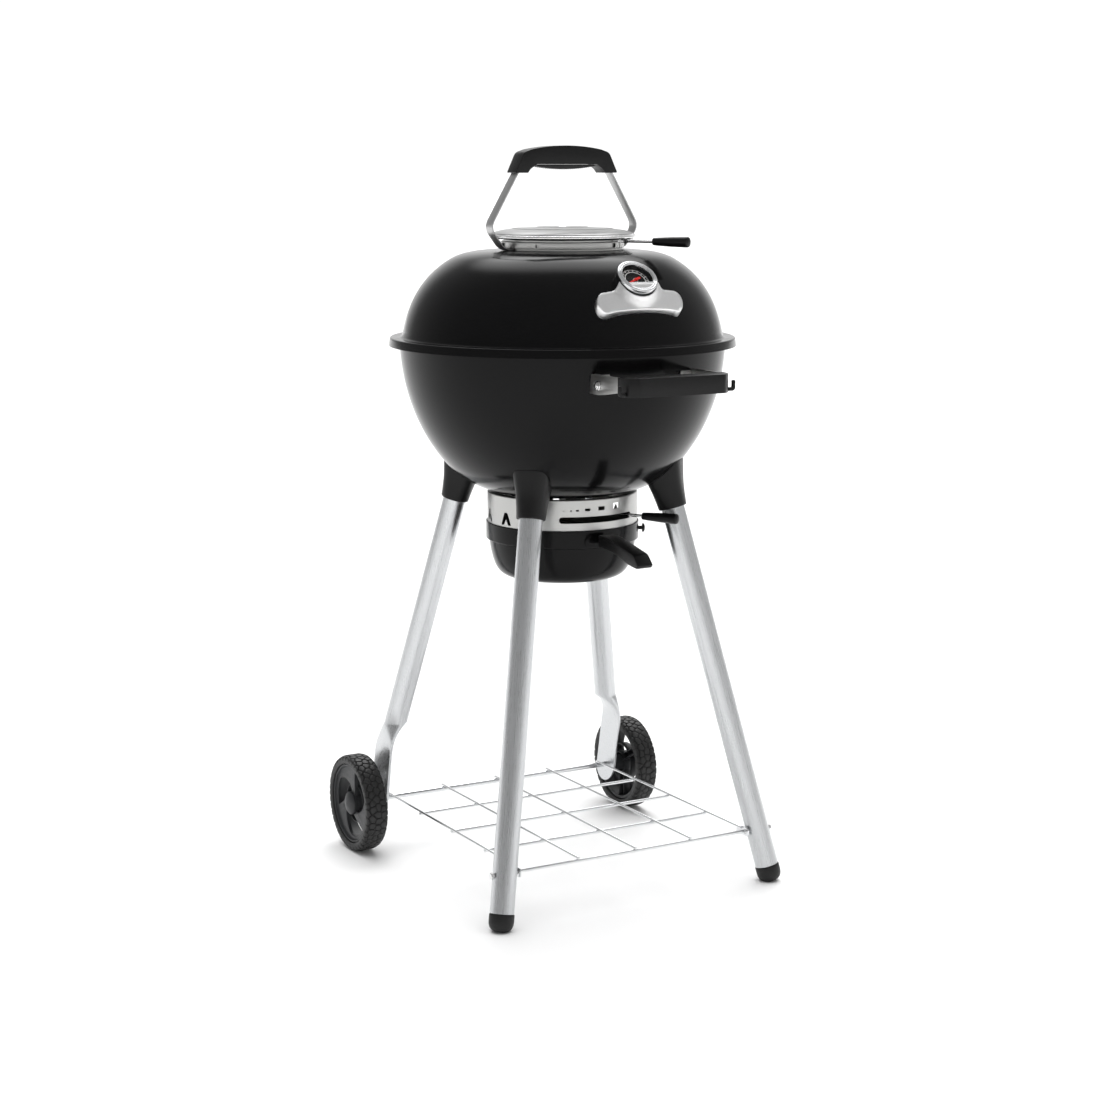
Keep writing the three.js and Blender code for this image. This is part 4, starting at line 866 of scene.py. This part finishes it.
def wall_cut(outline, bearing, z):
    """An outline seen from outside, cut through the housing's wall at a bearing."""
    shape = prism(outline, -HOUSING - 8, -HOUSING + 8, "xz")
    return shape.moved(Matrix.Translation((0, 0, z)) @ spun(bearing + 90))


# The row of openings over the slot shows how far the damper is open: bearing, width and height.
SCALE = ((-118.7, 1.4, 1.4), (-113.2, 2.6, 2), (-108.4, 4.6, 2.6), (-100.5, 8.6, 4), (-89.1, 10.8, 6),
         (-75.1, 12.4, 9))
for bearing, wide, tall in SCALE:
    w = wide / 2
    corners = [(-w, 0), (w, 0), (w, tall), (-w, tall)]
    housing_cuts.add(wall_cut(fillet(corners, min(1.0, w * 0.6), 4), bearing, 568.5))
chevron = fillet(
    [(-10.9, -9.5), (-4.6, -9.5), (0, -0.5), (4.6, -9.5), (10.9, -9.5), (3.4, 9.5), (-3.4, 9.5)],
    [2.6, 2.6, 1, 2.6, 2.6, 3.2, 3.2], 5)
for k in range(9):
    housing_cuts.add(wall_cut(chevron, -13 + 25.75 * k, 552))
fine("damper_housing", housing, cuts=housing_cuts, smooth=40)

stud_line = [(0, 0.4), (2.8, 0.4), (2.8, 7.4), (5.6, 7.5), (6.6, 8.0)]
stud_line += bezier([(6.8, 8.8), (6.4, 11.8), (0, 12.2)], 8)
stud = solid(stud_line, 36)
for k, bearing in enumerate(PAN_STUDS):
    place = aimed(polar(HOUSING, bearing, 527), polar(1, bearing))
    fine(f"pan_stud_{k + 1}", stud, look=LOOKS["plastic"], place=place)

# ------------------------ ash pan
BAND = 115.4
PAN_FOOT = 454.5
PAN_SHEET = 1.4
pan_pulls = [(60, PAN_FOOT), (84, PAN_FOOT), (96, 457.5), (103, 466), (107.6, 489), (110.8, 511.9)]
pan_step = bezier([(110.8, 511.9), (112.4, 512.9), (BAND, 512.9), (BAND, 515)], 6)
pan_outside = [(0, PAN_FOOT)] + bezier(pan_pulls, 34) + pan_step[1:] + [(BAND, 538.6)]
pan_inside = offset(pan_outside, PAN_SHEET)
pan_inside[0] = (0, PAN_FOOT + PAN_SHEET)
pan_slots = Shape()
for bearing in PAN_STUDS:
    pan_slots.add(bearing_block(bearing, BAND, 7.4, 12, 24, 535.4))
pan_lip = arc(BAND - 0.7, 539.0, 0.72, -20, 200, 8)
pan_loop = pan_outside + pan_lip + list(reversed(pan_inside))
fine("ash_pan", solid(pan_loop, 192), cuts=pan_slots, smooth=38)

wrap = bent_plate(115.7, 117.3, -90, 523, 26.2, 8.5, 7, 24)
fine("ash_pan_handle_bracket", wrap, bevel=0.35)
tongue = fillet(
    [(-BAND - 1.5, 527), (-BAND - 1.5, 530), (-148, 528.4), (-186, 522), (-186, 519), (-148, 525.4)],
    [0, 0, 12, 0, 0, 12], 5)
fine("ash_pan_handle_bracket", prism(tongue, -9, 9, "yz"), part="tongue", bevel=0.4)
pan_grip = fillet(
    [(-128, 518), (-128, 535), (-152, 534.5), (-226, 520), (-240, 506), (-235, 501), (-214, 503),
     (-170, 514.5)],
    [1.5, 2, 16, 5, 3, 2.5, 12, 14])
grip_slot = [(-120, 530.5), (-148, 528.7), (-187, 522.1), (-187, 518.5), (-148, 525.1), (-120, 526.4)]
fine("ash_pan_handle_grip", prism(pan_grip, -12.5, 12.5, "yz"),
     cuts=prism(grip_slot, -9.3, 9.3, "yz"), bevel=3.2, smooth=26)

# ------------------------ front handle
ARM_X = 82  # each arm's middle, either side of the centre
HANDLE_BOLT = (-246, 767)  # the bolts through the arms, in y and z
FLANGE_LOW, FLANGE_TALL, FLANGE_WIDE, FLANGE_OUT = 755.5, 25, 23, 2.8
RIVET_Z = 768
arm_outline = fillet(
    [(-216, 754), (-216, 776), (-229, 782.5), (-311, 782.5), (-311, 761), (-296, 761), (-270, 757),
     (-245, 754)],
    [0, 3, 5, 4, 4, 5, 6, 4], 5)
plan = mirrored([(69.5, -333), (80.5, -323.5), (84.8, -311), (85.5, -300)])
plan = fillet(plan, [4, 3, 3, 2, 2, 3, 3, 4], 5)
hook_outline = fillet(
    [(0, 758), (8, 758), (10.8, 761), (10.8, 773), (6.6, 773), (6.6, 763), (0, 763)],
    [0, 2.5, 2, 2, 2, 2, 0], 5)


def arm_flange(x, side, grid=9):
    """The arm's flange, bent to lie on the bowl: two sheets of grid by grid points, and its edges."""
    shape = Shape()
    cells = grid - 1
    for lift in (0.35, FLANGE_OUT):
        for level in range(grid):
            z = FLANGE_LOW + FLANGE_TALL * level / cells
            radius = dome_radius(BOWL_DOME, z) + lift
            for column in range(grid):
                across = x - side * (0.2 + FLANGE_WIDE * column / cells)
                y = -math.sqrt(radius ** 2 - across ** 2)
                shape.points.append(Vector((across, y, z)))
    far = grid * grid
    for level in range(cells):
        for near in range(level * grid, level * grid + cells):
            outer = far + near
            shape.faces.append([near, near + 1, near + grid + 1, near + grid])
            shape.faces.append([outer, outer + grid, outer + grid + 1, outer + 1])
    for k in range(cells):
        top, left, right = cells * grid + k, k * grid, k * grid + cells
        shape.faces.append([k, far + k, far + k + 1, k + 1])
        shape.faces.append([top, top + 1, far + top + 1, far + top])
        shape.faces.append([left, left + grid, far + left + grid, far + left])
        shape.faces.append([right, far + right, far + right + grid, right + grid])
    return shape


handle_cuts = Shape()
rivet = solid([(0, 0), (5, 0), (4.6, 1.3), (3, 2.3), (0, 2.7)], 32)
for side, name in SIDES:
    x = side * ARM_X
    arm = prism(arm_outline, x - 1.25, x + 1.25, "yz")
    bolt_eye = rod((x - 6, *HANDLE_BOLT), (x + 6, *HANDLE_BOLT), 3.3)
    fine(f"handle_arm_{name}", arm, cuts=joined([bowl_space, bolt_eye]), bevel=0.5)
    fine(f"handle_arm_{name}", arm_flange(x, side), part="foot", bevel=0.4)
    rivet_x = x - side * 13
    rivet_out = dome_radius(BOWL_DOME, RIVET_Z) + FLANGE_OUT + 0.1
    rivet_y = -math.sqrt(rivet_out ** 2 - rivet_x ** 2)
    place = aimed((rivet_x, rivet_y, RIVET_Z), (rivet_x, rivet_y, 0))
    fine(f"handle_arm_{name}", rivet, part="rivet", look=POLISHED, place=place)
    bolt = rod((x - 6.5, *HANDLE_BOLT), (x + 6.5, *HANDLE_BOLT), 2.9)
    for way in (1, -1):
        bolt.add(hexagon((x + way * 1.6, *HANDLE_BOLT), (x + way * 6.0, *HANDLE_BOLT), 5.8, 6.6))
    fine(f"handle_bolt_{name}", bolt, look=POLISHED)
    handle_cuts.add(block(3.1, 22.6, 24, x, -300, 772.7))
    hook = prism([(side * (83.6 + hx), hz) for hx, hz in hook_outline], -320.5, -315.5, "xz")
    fine(f"tool_hook_{name}", hook, bevel=0.9, steps=3)
fine("front_handle_grip", prism(plan, 757, 783), cuts=handle_cuts, bevel=1.8, steps=3, smooth=32)

# ------------------------ legs
# A leg's axis stands REACH from the kettle's at the floor, and leans in by SLOPE as it rises.
REACH, SLOPE, TUBE, LEG_TOP = 328.2, 0.2786, 17.5, 587
# A rear leg is flat at FLAT_X and below FLAT_FULL, with a foot of radius FLAT_HALF about the axle.
FLAT_X, FLAT_HALF, FLAT_TOP, FLAT_FULL = 209, 28, 205, 150
WHEEL_X, AXLE_Y, WHEEL = 246.5, 217.4, 76
CAP_BALL = 18.2
SOCKET_Z, SOCKET_LONG = 565, 66
LEGS = {"front_left": 225, "front_right": 315, "rear_left": 135, "rear_right": 45}
RISE = 1 / math.sqrt(1 + SLOPE ** 2)


def leg_frame(bearing):
    """A frame on the leg's axis at the floor: x away from the kettle, z up along the tube."""
    up = polar(-SLOPE, bearing, 1).normalized()
    side = up.cross(polar(1, bearing)).normalized()
    out = side.cross(up)
    foot = polar(REACH, bearing)
    return Matrix([(*row, at) for row, at in zip(zip(out, side, up), foot)] + [(0, 0, 0, 1)])


def squashed_leg(bearing, side, around=64):
    """The rear tube as level rings, pressed flat towards its lower end."""
    up = polar(-SLOPE, bearing, 1).normalized()
    across = polar(1, bearing + 90)
    inward = across.cross(up)
    levels = [WHEEL - FLAT_HALF * math.sin(radians(a)) for a in range(88, 0, -6)]
    levels += [WHEEL + 7 * k for k in range(1, 11)]
    levels += [FLAT_FULL + (FLAT_TOP - FLAT_FULL) * k / 24 for k in range(25)]
    levels += [FLAT_TOP + 30 * k for k in range(1, 12)] + [LEG_TOP]
    shape = Shape()
    for z in levels:
        centre = polar(REACH - SLOPE * z, bearing, z)
        t = min(max((FLAT_TOP - z) / (FLAT_TOP - FLAT_FULL), 0), 1)
        blend = t * (2 - t)
        half = math.sqrt(max(FLAT_HALF ** 2 - max(WHEEL - z, 0) ** 2, 0.2))
        for k in range(around):
            turn = 2 * math.pi * k / around
            away = across * (TUBE * math.cos(turn)) + inward * (TUBE * math.sin(turn))
            away -= up * (away.z / up.z)
            flat_x = side * FLAT_X + min(max(away.x * 0.6, -2), 2)
            flat_y = centre.y + away.y / TUBE * half * 0.96
            x = centre.x + away.x + (flat_x - centre.x - away.x) * blend
            y = centre.y + away.y + (flat_y - centre.y - away.y) * blend
            shape.points.append(Vector((x, y, z)))
    shape.faces = ring_faces(len(levels), around)
    return shape


def across_bar(x_from, x_to, y, z, radius, soft=0.5, segments=28):
    """A round bar from side to side."""
    return rod((x_from, y, z), (x_to, y, z), radius, segments, soft)


# The shelf's bolts go through the front legs' axes.
BOLT_Z = 78
BOLT_Y = -(REACH - SLOPE * BOLT_Z) * math.sqrt(0.5)
BOLT_X = -BOLT_Y
socket_outline = (
    [(0, 0), (20.4, 0), (21.2, 0.8)]
    + bezier([(21.3, 2), (22.2, 14), (23.4, 28), (26, 40)], 10)
    + bezier([(26, 40), (28.4, 51), (30.6, 60), (32, 66)], 8)[1:]
    + [(35, 84), (0, 84)]
)
for name, bearing in LEGS.items():
    place = leg_frame(bearing)
    back_to_local = place.inverted()
    side = -1 if name.endswith("left") else 1
    tube = look(f"tube_{name}", (0.57, 0.58, 0.59), 0.3, metallic=1, vary=0.1, size=0.9, stretch=(1, 1, 60),
                bump=0.1, bump_size=0.4, along=place)
    if name.startswith("rear"):
        leg = squashed_leg(bearing, side).moved(back_to_local)
        hole = across_bar(side * (FLAT_X - 20), side * (FLAT_X + 20), AXLE_Y, WHEEL, 4.3)
        fine(f"leg_{name}", leg, look=tube, place=place, cuts=hole.moved(back_to_local), smooth=30)
    else:
        low, high = 24 / RISE, LEG_TOP / RISE
        leg = [(TUBE, low + 0.4), (TUBE, 200), (TUBE, 400), (TUBE, high), (16, high), (16, low)]
        leg += [(TUBE - 0.4, low)]
        hole = across_bar(side * (BOLT_X - 30), side * (BOLT_X + 30), BOLT_Y, BOLT_Z, 3.3)
        fine(f"leg_{name}", turned(leg, 96), look=tube, place=place, cuts=hole.moved(back_to_local))
        cap = [(0, -1.2)]
        for a in range(87, -1, -3):
            out, down = math.cos(radians(a)) ** 0.72, math.sin(radians(a)) ** 0.72
            cap.append((CAP_BALL * out, 17 - CAP_BALL * down))
        rim_z = low - 0.3
        cap += [(CAP_BALL, rim_z - 1), (17.6, rim_z), (15.7, rim_z), (15.7, 40), (0, 40)]
        foot = solid(cap, 64).moved(place)
        for point in foot.points:
            point.z = max(point.z, 0)
        fine(f"foot_cap_{name}", foot.moved(back_to_local), place=place, smooth=40)
    # Towards its top the socket grows squarer, and a little flatter where it meets the bowl.
    socket = solid(socket_outline, 96)
    for point in socket.points:
        rise = min(point.z / SOCKET_LONG, 1)
        power = 2 + 2.2 * rise
        turn = math.atan2(point.y, point.x)
        squarer = (abs(math.cos(turn)) ** power + abs(math.sin(turn)) ** power) ** (-1 / power)
        point.x *= 1 + (squarer - 1) * 0.8
        point.y *= (1 + (squarer - 1) * 0.8) * (1 - 0.1 * rise)
    socket = socket.moved(Matrix.Translation((0, 0, SOCKET_Z / RISE)))
    fine(f"leg_socket_{name}", socket, place=place, cuts=bowl_space.moved(back_to_local), smooth=40)

# ------------------------ wheels
fine("wheel_axle", across_bar(-261.1, 261.1, AXLE_Y, WHEEL, 4, 0.8, 36))

TREAD_EDGE, TREAD_HALF = 67.8, 18
AROUND = 500
CRACK = 1.7  # the cracks' depth
tread = [(TREAD_EDGE, -TREAD_HALF), (73, -TREAD_HALF), (WHEEL, -12), (WHEEL, 12), (73, TREAD_HALF),
         (TREAD_EDGE, TREAD_HALF)]
tread_line = resampled(fillet(tread, [0, 4.5, 6, 6, 4.5, 0], 8, closed=False), 0.95)


def tread_relief(line):
    """How deep the moulded cracks run at each point of the tread, from 0 to 1.

    They follow the borders of the cells round jittered points, and fade out at the tread's edges."""
    steps = [math.dist(a, b) for a, b in zip(line, line[1:])]
    distance = np.concatenate([[0], np.cumsum(steps)])
    length = 2 * math.pi * WHEEL
    rng = np.random.default_rng(11)
    rows, columns = 5, 40
    cells = []
    for row in range(-1, rows + 1):
        for column in range(columns):
            u = (column + 0.5 * (row % 2) + rng.uniform(-0.24, 0.24)) * length / columns
            v = (row + 0.5 + rng.uniform(-0.24, 0.24)) * distance[-1] / rows
            cells += [(u + wrap_turn * length, v) for wrap_turn in (-1, 0, 1)]
    cells = np.array(cells)
    along = np.arange(AROUND) * length / AROUND
    depth = np.zeros((len(line), AROUND))
    for i, v in enumerate(distance):
        near = cells[np.abs(cells[:, 1] - v) < 16]
        gap = np.hypot(along[:, None] - near[None, :, 0], v - near[None, :, 1])
        gap.sort(axis=1)
        edge = np.clip((gap[:, 1] - gap[:, 0]) / 2.6, 0, 1)
        fade = min(1, i / 3, (len(line) - 1 - i) / 3)
        depth[i] = (1 - edge * edge * (3 - 2 * edge)) * fade
    return depth


relief = tread_relief(tread_line)
side_wall = [(TREAD_EDGE, TREAD_HALF), (66.2, 18), (64.6, 17.2), (63.2, 17.4), (62.4, 15.4)]
side_wall = fillet(side_wall + [(62.3, 13.6)], [0, 1, 1, 0.8, 0.6, 0], 4, closed=False)[1:]
tyre_line = tread_line + side_wall + [(r, -z) for r, z in reversed(side_wall)]
normals = []
for i in range(len(tread_line)):
    a, b = tread_line[max(i - 1, 0)], tread_line[min(i + 1, len(tread_line) - 1)]
    long = math.dist(a, b)
    normals.append(((b[1] - a[1]) / long, -(b[0] - a[0]) / long))
tyre = Shape()
tyre_depth = []
for i, (r, z) in enumerate(tyre_line):
    for k in range(AROUND):
        depth = relief[i][k] if i < len(tread_line) else 0
        nr, nz = normals[i] if i < len(tread_line) else (0, 0)
        tyre.points.append(polar(r - nr * depth * CRACK, 360 * k / AROUND, z - nz * depth * CRACK))
        tyre_depth.append(depth)
tyre.faces = ring_faces(len(tyre_line), AROUND, closed=True)

# The hub has a web with three openings, and ribs and two rings behind it.
BORE = 4.3
HUB, HUB_CAP, WEB = 62, 18.3, 11
hub_line = [
    (BORE, -31), (11.2, -31), (12, -30.2), (13.4, 6), (18, 6), (HUB - 5, 6), (HUB - 5, -14),
    (HUB - 0.4, -14), (HUB, -13.4), (HUB, 14.2), (HUB - 0.8, 15), (HUB - 2.4, 15), (HUB - 3.4, 14.2),
    (HUB - 3.8, 12), (HUB - 5, WEB), (BORE, WEB),
]
opening = [(53 * math.sin(radians(a)), -53 * math.cos(radians(a))) for a in range(77, 30, -4)]
spoke_edge = [(27.3, -45.4), (14, -53), (-4, -40), (-12, -30), (-12, -19), (-9.5, -15.7)]
opening += bezier(spoke_edge, 16)[1:]
opening += [(HUB_CAP * math.sin(radians(a)), -HUB_CAP * math.cos(radians(a)))
            for a in range(-24, 53, 6)]
holes = Shape()
ribs = Shape()
for bearing in THIRDS:
    holes.add(prism(opening, 0, 16), spun(bearing))
    ribs.add(block(45, 2.2, 17, 34.5, 1, -2.4), spun(bearing))
    ribs.add(block(40, 1.6, 14, 35, -9.4, -1.2), spun(bearing))
ribs.add(turned([(30, -8), (31.6, -8), (31.6, 5.9), (30, 5.9)], 72))
ribs.add(turned([(17, -12), (18.4, -12), (18.4, 5.9), (17, 5.9)], 48))
wheel_cap = [(BORE, 11.3), (HUB_CAP - 0.6, 11.3), (HUB_CAP, 11.9), (HUB_CAP, 14.2)]
wheel_cap += [(HUB_CAP - 0.7, 15.2)] + bezier([(HUB_CAP - 1.6, 15.8), (12, 19.6), (0, 21)], 14)
wheel_cap += [(0, 14.9), (BORE, 14.9)]
for side, name in SIDES:
    centre = Matrix.Translation((side * WHEEL_X, AXLE_Y, WHEEL))
    place = centre @ Matrix.Rotation(side * math.pi / 2, 4, "Y")
    fine(f"wheel_tyre_{name}", tyre, look=LOOKS["tyre"], place=place, smooth=50, depth=tyre_depth)
    fine(f"wheel_hub_{name}", turned(hub_line, 96), place=place, cuts=holes, bevel=0.5, smooth=38)
    fine(f"wheel_hub_{name}", ribs, part="ribs", place=place, bevel=0.5)
    fine(f"wheel_cap_{name}", solid(wheel_cap, 64), place=place)

# ------------------------ shelf
EAR_X = BOLT_X - TUBE - 3
LONG_X = EAR_X - 3.7
LONG_Z, CROSS_Z = 82.3, 78.1
shelf = Shape()
for part in (-1, -0.5, 0, 0.5, 1):
    front = BOLT_Y + (8 if abs(part) == 1 else -2)
    shelf.add(rod((part * LONG_X, front, LONG_Z), (part * LONG_X, AXLE_Y + 4, LONG_Z), 2, 20, 0.7))
for y in (105, -2, -109, -216):
    shelf.add(across_bar(-LONG_X - 1, LONG_X + 1, y, CROSS_Z, 2.5, 0.8, 24))
fine("shelf_rack", shelf, smooth=50)
ear_outline = [(BOLT_Y - 8, 70.5), (BOLT_Y + 24, 70.5), (BOLT_Y + 24, 84.5), (BOLT_Y - 8, 84.5)]
ear_outline = fillet(ear_outline, [6, 4, 4, 6])
head = BOLT_X + TUBE + 1.5
for side, name in SIDES:
    ear = prism(ear_outline, side * (EAR_X - 2), side * EAR_X, "yz")
    eye = across_bar(side * (EAR_X - 5), side * BOLT_X, BOLT_Y, BOLT_Z, 3.3)
    fine("shelf_rack", ear, part=f"ear_{name}", cuts=eye, bevel=0.4)
    bolt = across_bar(side * (EAR_X - 1.5), side * (head + 0.2), BOLT_Y, BOLT_Z, 2.9)
    bolt.add(hexagon((side * head, BOLT_Y, BOLT_Z), (side * (head + 4), BOLT_Y, BOLT_Z), 5))
    fine(f"shelf_bolt_{name}", bolt, look=POLISHED)

# ------------------------ studio
FLOOR, FLOOR_Z = 400, -0.0004
floor_corners = [(x * FLOOR, y * FLOOR, FLOOR_Z) for x, y in ((-1, -1), (1, -1), (1, 1), (-1, 1))]
floor_mesh = bpy.data.meshes.new("studio_floor")
floor_mesh.from_pydata(floor_corners, [], [(0, 1, 2, 3)])
floor = in_scene("studio_floor", floor_mesh)
paper = bpy.data.materials.new("studio_paper")
paper.use_nodes = True
feed(paper.node_tree, paper.node_tree.nodes["Principled BSDF"],
     {"Base Color": (0.9, 0.9, 0.9, 1), "Roughness": 0.9, "Specular IOR Level": 0.0})
floor_mesh.materials.append(paper)

# The camera that was solved from the photo.
YAW, PITCH = radians(60.617), 0.1737
level = math.cos(PITCH)
forward = Vector((math.cos(YAW) * level, math.sin(YAW) * level, -math.sin(PITCH)))
camera = in_scene("camera", bpy.data.cameras.new("camera"))
camera.location = AXIS + Vector((-1.61869, -2.83694, 1.06527))
camera.rotation_euler = forward.to_track_quat("-Z", "Y").to_euler()
camera.data.lens = 71.54
camera.data.sensor_width = 36
bpy.context.scene.camera = camera

world = bpy.data.worlds.new("studio")
bpy.context.scene.world = world
world.use_nodes = True
tree = world.node_tree
direction = node_in(tree, "TexCoord").outputs["Generated"]


def sky(aim, start, full, low, high):
    """A smooth rise in the surround's brightness towards one direction.

    start and full are cosines of the angle from it, where the rise from low to high starts and ends."""
    toward = node_in(tree, "VectorMath", {0: direction, 1: aim}, operation="DOT_PRODUCT")
    rise = node_in(tree, "MapRange", {
        "Value": toward.outputs["Value"], "From Min": start, "From Max": full,
        "To Min": low, "To Max": high}, interpolation_type="SMOOTHSTEP")
    return rise.outputs["Result"]


def total(a, b):
    """The sum of two of the world's values."""
    return node_in(tree, "Math", {0: a, 1: b}, operation="ADD").outputs[0]


# The surround is brighter behind the object, a little brighter on the right, and has a soft light
# over its far side that the vent cap and the lid mirror.
OVERHEAD = radians(55)
ahead_flat = Vector((math.cos(YAW), math.sin(YAW), 0))
right_flat = Vector((math.sin(YAW), -math.cos(YAW), 0))
overhead = ahead_flat * math.cos(OVERHEAD) + Vector((0, 0, math.sin(OVERHEAD)))
surround = total(sky(ahead_flat, 0.72, 0.96, 0.36, 1.05), sky(right_flat, 0, 1, 0, 0.2))
strength = total(surround, sky(overhead, 0.88, 0.985, 0, 4))
feed(tree, tree.nodes["Background"], {"Color": (1, 1, 1, 1), "Strength": strength})

lamp = bpy.data.lights.new("overhead", "SUN")
lamp.energy = 2.3
lamp.angle = radians(70)
in_scene("overhead", lamp).visible_glossy = False
bpy.context.scene.view_settings.view_transform = "Standard"
